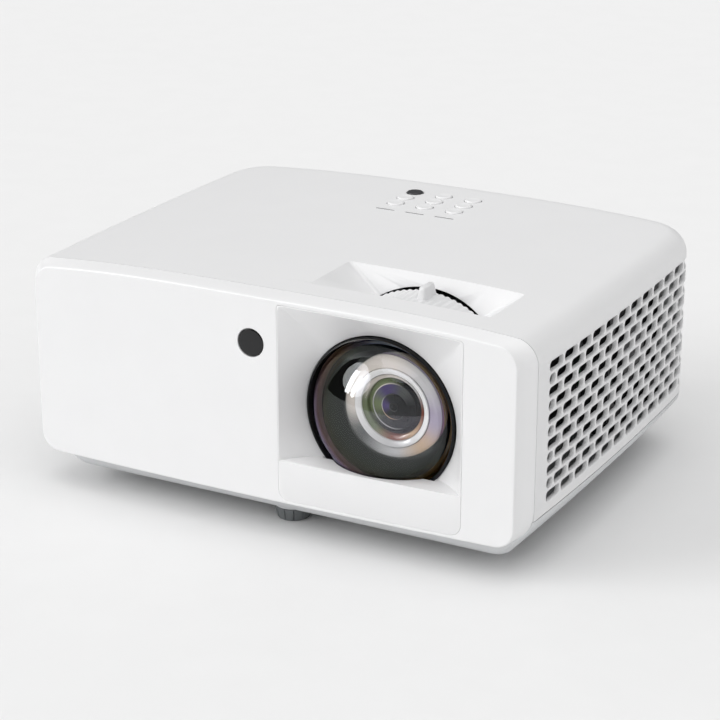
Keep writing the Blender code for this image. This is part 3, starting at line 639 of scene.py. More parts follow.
def roof():
    """Roof and shoulders, with the focus well, the key holes and the light slots."""
    obj = loft("roof_skin", roof_rings(0.0, SEAM_Y + SEAM_GAP, BAND_TOP_Z - 0.01))
    wider = roof_rings(0.0, SEAM_Y - 4.0, BAND_TOP_Z - 6.0)
    reference = loft("roof_reference", wider, caps=(False, False), closed=False)
    boolean(obj, loft("roof_hollow", roof_rings(WALL, SEAM_Y - 10.0, BAND_TOP_Z - 8.0)))
    lip = 2.4
    floor_wall = 2.2
    block = frustum(
        "well_block", grown(WELL_TOP, lip), lambda x: roof_top(x) - 1.0,
        grown(WELL_FLOOR, lip), WELL_FLOOR_Z - floor_wall,
    )
    boolean(obj, block, "UNION")
    rise = 4.0
    run = ROOF_Z - WELL_FLOOR_Z
    above = tuple(f + (t - f) * (run + rise) / run for t, f in zip(WELL_TOP, WELL_FLOOR))
    boolean(obj, frustum("well_hollow", above, lambda x: ROOF_Z + rise, WELL_FLOOR, WELL_FLOOR_Z, 2.0))
    radius = FOCUS_RADIUS + 0.3
    front, back = -FOCUS_FRONT_Y + 1.2, -FOCUS_BACK_Y - 9.0
    profile = ((0.0, front), (radius, front), (radius, back), (0.0, back))
    boolean(obj, turned("ring_room", profile, LENS_CENTRE, "FRONT", 160))
    for x in LED_X:
        outline = centred(x, LED_Y, *LED_SLOT, 0.7, 4)
        boolean(obj, prism("light_slot", outline, ROOF_Z - 8.0, ROOF_Z + 4.0))
    for x in KEY_X:
        for y in KEY_Y:
            hole = (
                (0.0, 4.0), (KEY_HOLE + 0.5, 4.0), (KEY_HOLE + 0.25, 0.0),
                (KEY_HOLE, -0.25), (KEY_HOLE, -6.0), (0.0, -6.0),
            )
            boolean(obj, turned("key_hole", hole, (x, y, roof_top(x)), "Z", 48))
    return repair_normals(soften(obj, 0.35, 28), [reference])


def extruded(name, rings):
    """A solid between two outlines."""
    bm = bmesh.new()
    levels = [[bm.verts.new(point) for point in ring] for ring in rings]
    add_walls(bm, levels)
    bm.faces.new(levels[0][::-1])
    bm.faces.new(levels[1])
    bmesh.ops.remove_doubles(bm, verts=bm.verts, dist=1e-5)
    bmesh.ops.recalc_face_normals(bm, faces=bm.faces)
    return from_bmesh(name, bm)


def prism(name, outline, low, high):
    return extruded(name, [[(x, y, z) for x, y in outline] for z in (low, high)])


def standing_prism(name, outline, front, back):
    """An outline in XZ carried from one Y to another."""
    return extruded(name, [[(x, y, z) for x, z in outline] for y in (front, back)])


def bezel():
    """Front plate and band, with a rounded front edge."""
    soft = 0.9
    rings = []
    for i in range(5):
        angle = math.radians(90 * i / 4)
        rings.append(plate_ring(soft * (1 - math.sin(angle)), soft * (1 - math.cos(angle))))
    rings.append(blend_rings(rings[-1], band_ring(0.0, SEAM_Y - 0.25), 0.5))
    rings.append(band_ring(0.0, SEAM_Y - 0.25))
    rings.append(band_ring(0.25, SEAM_Y))
    flat = [plate_ring(soft, 0.0), plate_ring(20.0, 0.0)]
    reference = loft("bezel_reference", flat, caps=(False, True))
    obj = loft("bezel_skin", rings)
    boolean(obj, loft("bezel_hollow", [plate_ring(WALL, WALL), band_ring(WALL, SEAM_Y + 1.0)]))
    cutter = [
        panel_ring(-1.5, lambda x: plate_y(x) - 1.0),
        panel_ring(-0.08, lambda x: plate_y(x) + 0.25),
        panel_ring(-0.08, lambda x: -80.0),
    ]
    boolean(obj, loft("panel_opening", cutter))
    x, z, radius = EYE
    face = -plate_y(x)
    hole = (
        (0.0, face + 2.0), (radius + 2.3, face + 2.0), (radius, face - 0.3),
        (radius, face - 20.0), (0.0, face - 20.0),
    )
    boolean(obj, turned("eye_hole", hole, (x, 0.0, z), "FRONT", 96))
    return repair_normals(obj, [reference], angle=30)


def blend_rings(first, second, share):
    return [tuple(a + (b - a) * share for a, b in zip(p, q)) for p, q in zip(first, second)]


def recess_outline(steps, inset):
    """Where rays from the lens axis meet the recess's rounded edge on the panel's face."""
    left, right = PANEL_LEFT + inset, PANEL_RIGHT - inset
    points = []
    for i in range(steps):
        angle = math.tau * i / steps
        dx, dz = math.cos(angle), math.sin(angle)
        low, high = 0.0, 120.0
        for _ in range(40):
            reach = (low + high) / 2
            x, z = LENS_X + reach * dx, LENS_Z + reach * dz
            inside = left < x < right
            if inside:
                top = panel_top(x) - inset
                pull = corner_pull(x, left, right, PANEL_TOP_CORNER)
                inside = z < top - pull and z > PANEL_BOTTOM
            low, high = (reach, high) if inside else (low, reach)
        points.append((LENS_X + low * dx, LENS_Z + low * dz))
    return points


def lens_panel():
    """The panel around the lens: a funnel that runs from its edge to the round mouth."""
    soft = 0.22
    rings = [
        panel_ring(soft, plate_y),
        panel_ring(soft * 0.3, lambda x: plate_y(x) + soft * 0.3),
        panel_ring(0.0, lambda x: plate_y(x) + soft),
        panel_ring(0.0, lambda x: PANEL_BACK_Y),
    ]
    obj = loft("lens_panel_skin", rings)
    steps = 180
    edge = recess_outline(steps, 0.4)
    turns = [math.tau * i / steps for i in range(steps)]
    mouth = [
        (LENS_X + MOUTH_RADIUS * math.cos(a), LENS_Z + MOUTH_RADIUS * math.sin(a)) for a in turns
    ]
    funnel = []
    for share in (-0.25, 0.0, 0.25, 0.5, 0.75, 1.0):
        ring = []
        for (a, c), (b, d) in zip(edge, mouth):
            x, z = a + (b - a) * share, c + (d - c) * share
            ring.append((x, plate_y(a) + (MOUTH_Y - plate_y(a)) * share, z))
        funnel.append(ring)
    reference = loft("funnel_reference", funnel, caps=(False, False))
    reference.data.flip_normals()
    funnel.append([(x, PANEL_BACK_Y + 3.0, z) for x, z in mouth])
    bm = bmesh.new()
    levels = [[bm.verts.new(point) for point in ring] for ring in funnel]
    add_walls(bm, levels)
    bm.faces.new(levels[0])
    bm.faces.new(levels[-1])
    bmesh.ops.recalc_face_normals(bm, faces=bm.faces)
    recess = from_bmesh("recess", bm)
    fall = (LEDGE_Z - FLOOR_BACK_Z) / (PANEL_BACK_Y - PLATE_Y)
    floor = []
    for x in (PANEL_LEFT - 5.0, PANEL_RIGHT + 5.0):
        corners = (
            (PLATE_Y - 12.0, 0.0), (PLATE_Y - 12.0, LEDGE_Z + 12.0 * fall - 0.4),
            (PLATE_Y + 0.1, LEDGE_Z - 0.4), (PLATE_Y + 0.9, LEDGE_Z),
            (PANEL_BACK_Y + 4.0, FLOOR_BACK_Z - 4.0 * fall), (PANEL_BACK_Y + 4.0, 0.0),
        )
        floor.append([(x, y, z) for y, z in corners])
    boolean(recess, loft("ledge", floor))
    boolean(obj, recess)
    room = [(0.0, -dome_y(0.0) + 0.5)]
    room += [(r + 0.35, -dome_y(r) + 0.35) for r in np.linspace(3.0, 33.6, 16)]
    room += [(34.6, 96.4), (RING_RADIUS + 0.5, 96.4), (RING_RADIUS + 0.5, 86.0), (0.0, 86.0)]
    boolean(obj, turned("lens_room", room, LENS_CENTRE, "FRONT", 120))
    return repair_normals(obj, [reference], angle=25, near=0.05)


def flare(z):
    """How far the base's sides stand in from the casing's widest line at a height."""
    heights, insets = zip(*reversed(BASE_FLARE))
    return float(np.interp(z, heights, insets))


def base_rings(inset, top_z):
    radius = BASE_ROUND - inset
    levels = []
    for i in range(9):
        angle = math.radians(90 - 90 * i / 9)
        side = inset + radius * (1 - math.cos(angle))
        levels.append((BASE_Z + inset + radius * (1 - math.sin(angle)), side, BASE_FRONT_CORNER + side))
    corner_z, corner_radius = zip(*reversed(BASE_SIDE))
    for z in np.linspace(BASE_Z + BASE_ROUND, SPLIT_Z - SEAM_GAP, 10):
        levels.append((z, inset, float(np.interp(z, corner_z, corner_radius)) + inset))
    rings = []
    for z, side, corner in levels:
        narrow = (HALF_WIDTH - flare(z) - inset) / (HALF_WIDTH - side)
        ring = plan_ring(half_plan(side, BASE_FRONT_Y + side, corner))
        rings.append([(x * narrow, y, z) for x, y in ring])
    rings[-1] = [(x, y, top_z) for x, y, _ in rings[-1]]
    return rings


def dome_y(radius):
    return DOME_APEX_Y + DOME_DEPTH * (1 - math.sqrt(1 - (radius / DOME_RADIUS) ** 2))


def post_cutter(name, profile, x, y, steps=40):
    return turned(name, profile, (x, y, 0.0), "Z", steps)


def cylinder(name, radius, low, high, x, y):
    profile = ((0.0, low), (radius, low), (radius, high), (0.0, high))
    return post_cutter(name, profile, x, y)


def base_tray():
    """The tray under the casing, with foot collars, screw recesses, mount holes and vents."""
    obj = loft("base_skin", base_rings(0.0, SPLIT_Z - SEAM_GAP))
    reference = loft("base_reference", base_rings(0.0, SPLIT_Z - SEAM_GAP), caps=(True, False))
    boolean(obj, loft("tray_hollow", base_rings(WALL, SPLIT_Z + 10.0)))
    for x, y in SCREWS:
        boolean(obj, cylinder("post", 5.0, BASE_Z + 1.0, 25.8, x, y), "UNION")
        recess = (
            (0.0, 2.0), (4.6, 2.0), (3.5, BASE_Z + 0.5), (3.4, 12.4),
            (1.7, 12.4), (1.7, 30.0), (0.0, 30.0),
        )
        boolean(obj, post_cutter("recess", recess, x, y))
    for x, y in CEILING_BOSSES:
        boolean(obj, cylinder("boss", 6.0, BASE_Z + 1.0, 20.0, x, y), "UNION")
        hole = (
            (0.0, 2.0), (3.4, 2.0), (2.3, BASE_Z + 0.4),
            (2.0, BASE_Z + 0.8), (2.0, 17.0), (0.0, 17.0),
        )
        boolean(obj, post_cutter("mount_hole", hole, x, y))
    for x, y in FEET.values():
        collar = (
            (0.0, BASE_Z - 0.35), (9.4, BASE_Z - 0.35), (10.0, BASE_Z + 0.2), (10.0, 9.0),
            (8.0, 9.0), (8.0, 24.0), (0.0, 24.0),
        )
        boolean(obj, post_cutter("collar", collar, x, y, 64), "UNION")
        boolean(obj, cylinder("stem_hole", 4.25, 2.0, 30.0, x, y))
    for i in range(BASE_VENTS):
        x = BASE_VENT_X + BASE_VENT_STEP * i
        outline = rounded_outline(x, x + BASE_VENT_WIDTH, -12.0, 34.0, BASE_VENT_WIDTH / 2 - 0.01, 6)
        boolean(obj, prism("vent", outline, 2.0, 16.0))
    front = ((-100.0, -100.0), (105.0, -100.0), (105.0, -72.0), (-100.0, -72.0))
    boolean(obj, prism("surround_room", front, BASE_WALL_TOP, 40.0))
    return repair_normals(obj, [reference], near=0.08)


def rear_wall():
    """The socket panel: openings for each socket and vent slots, with softened edges."""
    left, right, low, high = REAR_PANEL
    gap = 0.3
    front, back = REAR_PANEL_Y
    outline = rounded_outline(left + gap, right - gap, low + gap, high - gap, 2.7, 5)
    obj = standing_prism("rear_skin", outline, front, back)
    audio_x, audio_z, size = AUDIO
    openings = [*SOCKETS.values(), (audio_x, audio_z, size, size), INLET]
    for x, z, width, height, *_ in openings:
        outline = centred(x, z, width + 2 * gap, height + 2 * gap, 0.4, 3)
        boolean(obj, standing_prism("cut", outline, 90.0, 115.0))
    for i in range(REAR_VENTS):
        z = REAR_VENT_Z + REAR_VENT_STEP * i
        outline = rounded_outline(-8.0, 92.0, z, z + REAR_VENT_HEIGHT, REAR_VENT_HEIGHT / 2 - 0.01, 6)
        boolean(obj, standing_prism("vent", outline, 90.0, 115.0))
    return sharpen(soften(obj, 0.25, 50))


def socket_shell(name, place, front, back, depth, corner):
    """A socket's body with its mouth; place holds the centre, the size and the mouth's size."""
    x, z, width, height, mouth_width, mouth_height = place
    obj = standing_prism(f"{name}_skin", centred(x, z, width, height, 0.6, 4), front, back)
    mouth = centred(x, z, mouth_width, mouth_height, corner, 5)
    boolean(obj, standing_prism("mouth", mouth, back - depth, back + 4.0))
    return sharpen(soften(obj, 0.2, 50))


def tongue(name, x, z, width, height, low_y, high_y, radius=0.15):
    return sharpen(standing_prism(name, centred(x, z, width, height, radius, 3), low_y, high_y))


def key(name, x, y):
    """A disc with a soft edge and a shallow dish."""
    top = 0.7
    profile = [(0.0, top - 0.18), (2.0, top - 0.14), (3.4, top - 0.02)]
    profile += [(KEY_RADIUS - 0.75 + r, top - 0.75 + h) for r, h in arc(0.0, 0.0, 0.75, 90, 0, 6)]
    profile += [(KEY_RADIUS, -3.0), (5.3, -3.0), (5.3, -4.5), (1.6, -4.5), (1.6, -8.7), (0.0, -8.7)]
    obj = turned(f"{name}_skin", profile, (x, y, ROOF_Z), "Z", 56)
    return sharpen(obj, 40)


def eye():
    """The infrared window: a polished disc with a flange behind the plate."""
    profile = [(0.0, 108.02), (4.0, 107.98), (6.0, 107.86)]
    profile += [(6.35 + r, 107.5 + h) for r, h in arc(0.0, 0.0, 0.3, 70, 0, 4)]
    profile += [(6.65, 105.0), (8.6, 105.0), (8.6, 103.6), (0.0, 103.6)]
    x, z, _ = EYE
    return sharpen(turned("eye_skin", profile, (x, 0.0, z), "FRONT", 72), 40)


def foot_pad(name, x, y):
    """A grey pad with short upright notches around its rim."""
    bm = bmesh.new()
    steps = PAD_NOTCHES * PAD_STEPS
    profile = (  # radius, height, whether notched
        (2.9, 1.2, 0), (2.9, 6.6, 0), (7.3, 6.6, 0), (8.6, 6.5, 0), (9.1, 6.2, 0), (9.1, 5.2, 1),
        (8.8, 3.2, 1), (8.35, 1.2, 1), (8.2, 0.55, 0), (7.9, 0.12, 0), (7.6, 0.0, 0), (3.0, 0.0, 0),
    )
    loops = []
    for radius, z, notched in profile:
        loop = []
        for i in range(steps):
            angle = math.tau * i / steps
            r = radius - (PAD_NOTCH if notched and i % PAD_STEPS == 0 else 0.0)
            loop.append(bm.verts.new((x + r * math.cos(angle), y + r * math.sin(angle), z)))
        loops.append(loop)
    add_walls(bm, loops)
    bm.faces.new(loops[0])
    bm.faces.new(loops[-1])
    bmesh.ops.recalc_face_normals(bm, faces=bm.faces)
    return sharpen(from_bmesh(f"{name}_pad_skin", bm), 30)


def foot_stem(name, x, y):
    """The threaded stem; its thread shows only when the foot is screwed out."""
    profile = [(0.0, 22.0), (3.3, 22.0)]
    for i in range(THREAD_TURNS):
        z = 21.6 - THREAD_PITCH * i
        profile += [(3.85, z), (3.85, z - 0.25), (3.3, z - 0.62), (3.3, z - 0.87)]
    profile += [(3.9, 7.4), (3.9, 6.9), (2.6, 6.9), (2.6, 1.6), (0.0, 1.6)]
    return sharpen(turned(f"{name}_stem_skin", profile, (x, y, 0.0), "Z", 40), 30)


def ribbed_ring():
    """The focus ring: rounded ribs all round, and a finger tab."""
    steps = FOCUS_RIBS * 6
    bm = bmesh.new()

    def outer(i):
        return FOCUS_RADIUS - 0.55 * (0.5 + 0.5 * math.cos(math.tau * i / 6)) ** 1.5

    ends = 0.5
    stations = (
        (FOCUS_BORE, FOCUS_FRONT_Y + 0.2, 0.0), (FOCUS_BORE + 0.3, FOCUS_FRONT_Y, 0.0),
        (0.6, FOCUS_FRONT_Y, 1.0), (0.0, FOCUS_FRONT_Y + ends, 1.0),
        (0.0, FOCUS_BACK_Y - ends, 1.0), (0.6, FOCUS_BACK_Y, 1.0),
        (FOCUS_BORE + 0.3, FOCUS_BACK_Y, 0.0), (FOCUS_BORE, FOCUS_BACK_Y - 0.2, 0.0),
    )
    loops = []
    for value, y, ribbed in stations:
        loop = []
        for i in range(steps):
            angle = math.tau * i / steps
            radius = outer(i) - value if ribbed else value
            x, z = LENS_X + radius * math.sin(angle), LENS_Z + radius * math.cos(angle)
            loop.append(bm.verts.new((x, y, z)))
        loops.append(loop)
    add_walls(bm, loops + loops[:1])
    bmesh.ops.recalc_face_normals(bm, faces=bm.faces)
    ring = from_bmesh("focus_ring_skin", bm)
    bm = bmesh.new()
    left, right, front, back = TAB
    centre = (left + right) / 2
    rows = ((0.0, 1.0, 0.0), (0.25, 0.95, 0.4), (0.8, 0.78, 1.3), (0.95, 0.68, 1.7), (1.0, 0.45, 2.2))
    rings = []
    for rise, width, slope in rows:
        half = (right - left) / 2 * width
        z = LENS_Z + FOCUS_RADIUS - 2.0 + (TAB_HEIGHT + 2.0) * rise
        corner = min(half * 0.9, 1.2)
        outline = rounded_outline(centre - half, centre + half, front + slope, back - slope, corner, 4)
        rings.append([bm.verts.new((x, y, z)) for x, y in outline])
    add_walls(bm, rings)
    bm.faces.new(rings[0][::-1])
    bm.faces.new(rings[-1])
    bmesh.ops.recalc_face_normals(bm, faces=bm.faces)
    return sharpen(boolean(ring, from_bmesh("tab", bm), "UNION"), 40)


# ---------------------------------------------------------------- lens


def dome():
    """The meniscus front lens, as one closed shell of even thickness."""
    stations = [DOME_RIM * math.sin(math.radians(90 * i / 40)) for i in range(41)]
    outer = [(r, -dome_y(r)) for r in stations]
    inner = [(r * 0.9, -dome_y(r) - DOME_WALL) for r in reversed(stations)]
    return sharpen(turned("dome_skin", outer + inner, LENS_CENTRE, "FRONT", 144), 60)


def retainer():
    """Nested black rings around the dome."""
    profile = (
        (37.15, 94.0), (37.2, 95.1), (37.35, 95.3), (37.6, 95.2), (37.7, 94.7), (37.85, 94.7),
        (37.9, 95.2), (38.0, 95.25), (RING_RADIUS, 95.0), (RING_RADIUS, 87.0), (32.0, 87.0),
        (32.0, 88.2), (36.9, 88.6), (37.1, 90.0), (37.1, 92.6),
    )
    ring = turned("retainer_skin", profile + profile[:1], LENS_CENTRE, "FRONT", 144)
    return sharpen(ring, 25)


def inner_optics():
    """What shows through the dome: stepped rings, a cone, a ring and the eye; their black, pale and white
    tones are painted reflections and painted highlights in the ring material. Each profile is (radius,
    height towards the front)."""
    rings = {
        "lens_steps": (
            (36.5, 91.3), (35.3, 90.3), (35.1, 90.5), (33.1, 88.6), (32.9, 88.8), (30.9, 86.9),
            (30.7, 87.1), (28.8, 85.3), (28.6, 85.5), (27.4, 84.5), (27.4, 79.5), (31.0, 79.5),
            (36.5, 86.0), (36.5, 91.3),
        ),
        "lens_cone": (
            (27.0, 84.3), (26.0, 84.0), (22.5, 82.9), (19.7, 82.3), (19.6, 79.0), (27.0, 79.0),
            (27.0, 84.3),
        ),
        "lens_band": (
            (19.5, 82.6), (19.1, 83.0), (18.5, 82.9), (17.3, 82.2), (16.6, 81.9), (16.3, 81.4),
            (16.2, 78.0), (19.5, 78.0), (19.5, 82.6),
        ),
        "lens_throat": (
            (16.1, 81.6), (15.2, 80.6), (14.3, 80.2), (14.0, 79.4), (13.9, 77.0), (16.1, 77.0),
            (16.1, 81.6),
        ),
        "lens_eye": (
            (0.0, 80.75), (1.9, 80.7), (2.0, 80.85), (2.25, 80.85), (2.35, 80.6), (5.9, 80.3),
            (6.0, 80.5), (6.35, 80.5), (6.45, 80.15), (8.6, 79.95), (8.7, 79.8), (10.9, 79.6),
            (11.0, 79.9), (11.3, 79.9), (11.4, 79.4), (12.4, 79.2), (12.5, 79.0), (13.8, 78.6),
            (13.8, 76.0), (0.0, 76.0),
        ),
    }
    return {
        name: sharpen(turned(name, profile, LENS_CENTRE, "FRONT", 128), 30)
        for name, profile in rings.items()
    }


# ---------------------------------------------------------------- materials


def node_material(name):
    material = bpy.data.materials.new(name)
    material.use_nodes = True
    tree = material.node_tree
    return material, tree, tree.nodes["Principled BSDF"]


def add_node(tree, kind, **values):
    node = tree.nodes.new(kind)
    for key, value in values.items():
        if key in node.inputs:
            node.inputs[key].default_value = value
        else:
            setattr(node, key, value)
    return node


def link(tree, source, output, target, socket):
    tree.links.new(source.outputs[output], target.inputs[socket])


def add_range(tree, source, output, low, high):
    """Maps a node's 0 to 1 output onto low to high."""
    node = add_node(tree, "ShaderNodeMapRange")
    node.inputs["To Min"].default_value = low
    node.inputs["To Max"].default_value = high
    link(tree, source, output, node, "Value")
    return node


def fill_ramp(ramp, stops):
    """Sets a colour ramp's (position, colour) stops."""
    while len(ramp.elements) < len(stops):
        ramp.elements.new(1.0)
    for element, (position, colour) in zip(ramp.elements, stops):
        element.position = position
        element.color = (*colour, 1.0)


def moulded(name, colour, roughness, grain=0.05, scale=2600.0, mottle=0.015, specular=0.5):
    """Moulded plastic: a fine spark-eroded grain, a faint mottle in colour and in gloss."""
    material, tree, shader = node_material(name)
    coordinates = add_node(tree, "ShaderNodeTexCoord")
    fine = add_node(tree, "ShaderNodeTexNoise", Scale=scale, Detail=3.0, Roughness=0.6)
    broad = add_node(tree, "ShaderNodeTexNoise", Scale=38.0, Detail=4.0)
    link(tree, coordinates, "Object", fine, "Vector")
    link(tree, coordinates, "Object", broad, "Vector")
    tone = add_range(tree, broad, "Fac", 1.0 - mottle, 1.0 + mottle)
    mix = add_node(tree, "ShaderNodeVectorMath", operation="SCALE")
    mix.inputs[0].default_value = colour
    link(tree, tone, "Result", mix, "Scale")
    link(tree, mix, "Vector", shader, "Base Color")
    gloss = add_range(tree, fine, "Fac", roughness - 0.04, roughness + 0.05)
    link(tree, gloss, "Result", shader, "Roughness")
    bump = add_node(tree, "ShaderNodeBump", Strength=grain, Distance=0.00012)
    link(tree, fine, "Fac", bump, "Height")
    link(tree, bump, "Normal", shader, "Normal")
    shader.inputs["Specular IOR Level"].default_value = specular
    return material


def metal(name, colour, roughness, scale=900.0, stretch=(1.0, 1.0, 12.0)):
    """Worked metal: fine drawn lines in one direction."""
    material, tree, shader = node_material(name)
    coordinates = add_node(tree, "ShaderNodeTexCoord")
    mapping = add_node(tree, "ShaderNodeMapping")
    mapping.inputs["Scale"].default_value = stretch
    noise = add_node(tree, "ShaderNodeTexNoise", Scale=scale, Detail=2.0)
    link(tree, coordinates, "Object", mapping, "Vector")
    link(tree, mapping, "Vector", noise, "Vector")
    tone = add_node(tree, "ShaderNodeMixRGB")
    tone.inputs[1].default_value = (*[c * 0.82 for c in colour], 1.0)
    tone.inputs[2].default_value = (*colour, 1.0)
    link(tree, noise, "Fac", tone, 0)
    link(tree, tone, 0, shader, "Base Color")
    rough = add_range(tree, noise, "Fac", roughness - 0.08, roughness + 0.1)
    link(tree, rough, "Result", shader, "Roughness")
    shader.inputs["Metallic"].default_value = 1.0
    return material


def circuit_board(name):
    """Solder mask with copper tracks showing through as slightly paler lines."""
    material, tree, shader = node_material(name)
    coordinates = add_node(tree, "ShaderNodeTexCoord")
    tracks = add_node(
        tree, "ShaderNodeTexVoronoi", Scale=260.0, distance="CHEBYCHEV", feature="DISTANCE_TO_EDGE"
    )
    link(tree, coordinates, "Object", tracks, "Vector")
    ramp = add_node(tree, "ShaderNodeValToRGB")
    fill_ramp(ramp.color_ramp, ((0.04, (0.05, 0.25, 0.10)), (0.09, (0.012, 0.10, 0.045))))
    link(tree, tracks, "Distance", ramp, "Fac")
    link(tree, ramp, "Color", shader, "Base Color")
    bump = add_node(tree, "ShaderNodeBump", Strength=0.3, Distance=0.0001)
    link(tree, tracks, "Distance", bump, "Height")
    link(tree, bump, "Normal", shader, "Normal")
    shader.inputs["Roughness"].default_value = 0.4
    return material


def lens_glass(name, film):
    """Coated optical glass with a thin film that colours its reflections."""
    material, tree, shader = node_material(name)
    coordinates = add_node(tree, "ShaderNodeTexCoord")
    noise = add_node(tree, "ShaderNodeTexNoise", Scale=14.0, Detail=1.0)
    link(tree, coordinates, "Object", noise, "Vector")
    thickness = add_range(tree, noise, "Fac", film - 35.0, film + 35.0)
    link(tree, thickness, "Result", shader, "Thin Film Thickness")
    shader.inputs["Thin Film IOR"].default_value = 1.9
    shader.inputs["Base Color"].default_value = (1.0, 1.0, 1.0, 1.0)
    shader.inputs["Roughness"].default_value = 0.0
    shader.inputs["IOR"].default_value = 1.5
    shader.inputs["Transmission Weight"].default_value = 1.0
    return material


def coated_dome(name):
    """A thin clear lens: light passes straight, and the coating colours what it reflects."""
    material, tree, shader = node_material(name)
    tree.nodes.remove(shader)
    output = tree.nodes["Material Output"]
    facing = add_node(tree, "ShaderNodeLayerWeight", Blend=0.5)
    noise = add_node(tree, "ShaderNodeTexNoise", Scale=9.0, Detail=0.0)
    coordinates = add_node(tree, "ShaderNodeTexCoord")
    link(tree, coordinates, "Object", noise, "Vector")
    shift = add_range(tree, noise, "Fac", -0.06, 0.06)
    place = add_node(tree, "ShaderNodeMath", operation="ADD")
    link(tree, facing, "Facing", place, 0)
    link(tree, shift, "Result", place, 1)
    colours = add_node(tree, "ShaderNodeValToRGB")
    fill_ramp(colours.color_ramp, COATING)
    link(tree, place, "Value", colours, "Fac")
    gloss = add_node(tree, "ShaderNodeBsdfGlossy", Roughness=0.0)
    link(tree, colours, "Color", gloss, "Color")
    fresnel = add_node(tree, "ShaderNodeFresnel", IOR=1.45)
    passed = add_range(tree, fresnel, "Fac", 1.0, 0.0)
    clear = add_node(tree, "ShaderNodeBsdfTransparent")
    link(tree, passed, "Result", clear, "Color")
    both = add_node(tree, "ShaderNodeAddShader")
    link(tree, clear, "BSDF", both, 0)
    link(tree, gloss, "BSDF", both, 1)
    link(tree, both, "Shader", output, "Surface")
    return material


def optics_painted_reflections(name):
    """Glass and rings under the dome, coloured with painted reflections and painted highlights: each ring
    has its own ramp of reflection colours, which runs round the lens axis from the left through the bottom,
    the right and the top, standing in for the studio seen in the coated glass."""
    material, tree, shader = node_material(name)
    coordinates = add_node(tree, "ShaderNodeTexCoord")
    centre = add_node(tree, "ShaderNodeVectorMath", operation="SUBTRACT")
    centre.inputs[1].default_value = world(LENS_X, 0.0, LENS_Z)
    link(tree, coordinates, "Object", centre, 0)
    flat = add_node(tree, "ShaderNodeVectorMath", operation="MULTIPLY")
    flat.inputs[1].default_value = (1.0, 0.0, 1.0)
    link(tree, centre, "Vector", flat, 0)
    reach = add_node(tree, "ShaderNodeVectorMath", operation="LENGTH")
    link(tree, flat, "Vector", reach, 0)
    axes = add_node(tree, "ShaderNodeSeparateXYZ")
    link(tree, flat, "Vector", axes, 0)
    angle = add_node(tree, "ShaderNodeMath", operation="ARCTAN2")
    link(tree, axes, "Z", angle, 0)
    link(tree, axes, "X", angle, 1)
    noise = add_node(tree, "ShaderNodeTexNoise", Scale=60.0, Detail=2.0)
    link(tree, coordinates, "Object", noise, "Vector")
    turn = add_node(tree, "ShaderNodeMapRange")
    turn.inputs["From Min"].default_value = -math.pi
    turn.inputs["From Max"].default_value = math.pi
    link(tree, angle, "Value", turn, "Value")
    waver = add_node(tree, "ShaderNodeMath", operation="MULTIPLY_ADD")
    waver.inputs[1].default_value = 0.06
    waver.inputs[2].default_value = -0.03
    link(tree, noise, "Fac", waver, 0)
    place = add_node(tree, "ShaderNodeMath", operation="ADD")
    link(tree, turn, "Result", place, 0)
    link(tree, waver, "Value", place, 1)
    blended = None
    # Each ring's ramp paints its reflections and highlights round the lens axis.
    for start, stops in PAINTED_RING_REFLECTIONS:
        colours = add_node(tree, "ShaderNodeValToRGB")
        colours.color_ramp.interpolation = "EASE"
        around = [(i / len(stops), stops[i % len(stops)]) for i in range(len(stops) + 1)]
        fill_ramp(colours.color_ramp, around)
        link(tree, place, "Value", colours, "Fac")
        if blended is None:
            blended = colours.outputs["Color"]
            continue
        step = add_node(tree, "ShaderNodeMapRange", interpolation_type="SMOOTHSTEP")
        step.inputs["From Min"].default_value = (start - 0.15) * MM
        step.inputs["From Max"].default_value = (start + 0.15) * MM
        link(tree, reach, "Value", step, "Value")
        mix = add_node(tree, "ShaderNodeMixRGB")
        link(tree, step, "Result", mix, 0)
        tree.links.new(blended, mix.inputs[1])
        link(tree, colours, "Color", mix, 2)
        blended = mix.outputs[0]
    tree.links.new(blended, shader.inputs["Base Color"])
    shader.inputs["Roughness"].default_value = 0.16
    shader.inputs["IOR"].default_value = 1.5
    return material


# Colours for the painted reflections and painted highlights on the rings under the dome.
INK = (0.006, 0.007, 0.008)
COAL = (0.020, 0.022, 0.022)
SLATE = (0.07, 0.075, 0.075)
SILVER = (0.58, 0.58, 0.59)
CREAM = (0.80, 0.74, 0.68)
CHALK = (0.95, 0.95, 0.95)
LIME = (0.15, 0.19, 0.09)
VIOLET = (0.07, 0.05, 0.16)
LILAC = (0.38, 0.33, 0.45)
AMBER = (0.36, 0.20, 0.04)
PLUM = (0.34, 0.14, 0.28)
RUST = (0.22, 0.07, 0.045)
OCHRE = (0.55, 0.38, 0.24)
AZURE = (0.20, 0.32, 0.60)
PAINTED_RING_REFLECTIONS = (  # radius where the ring starts, colours of painted reflections and painted highlights at equal turns from the left, bottom first
    (0.0, (COAL, INK, INK, INK)),
    (1.9, (SLATE, SLATE, COAL, COAL)),
    (2.4, (VIOLET, COAL, INK, INK, INK, COAL)),
    (6.0, (SILVER, OCHRE, SLATE, INK, INK, SLATE)),
    (6.5, (LIME, COAL, INK, INK, SLATE, VIOLET)),
    (10.9, (SILVER, SILVER, COAL, COAL, SLATE, CREAM)),
    (11.4, (LIME, COAL, INK, INK, INK, LIME)),
    (13.9, (LIME, LIME, RUST, OCHRE, RUST, SILVER, CREAM, CREAM)),
    (16.2, (CHALK, SILVER, CHALK, CHALK)),
    (19.4, (CREAM, SLATE, SILVER, OCHRE, LILAC, SILVER, CREAM, CREAM)),
    (27.0, (COAL, COAL, SLATE, PLUM, PLUM, LILAC, LILAC, OCHRE)),
    (28.6, (COAL, COAL, SILVER, PLUM, AMBER, AMBER, SILVER, LILAC)),
    (33.0, (LILAC, LILAC, SLATE, AMBER, AMBER, SLATE, AZURE, OCHRE)),
)
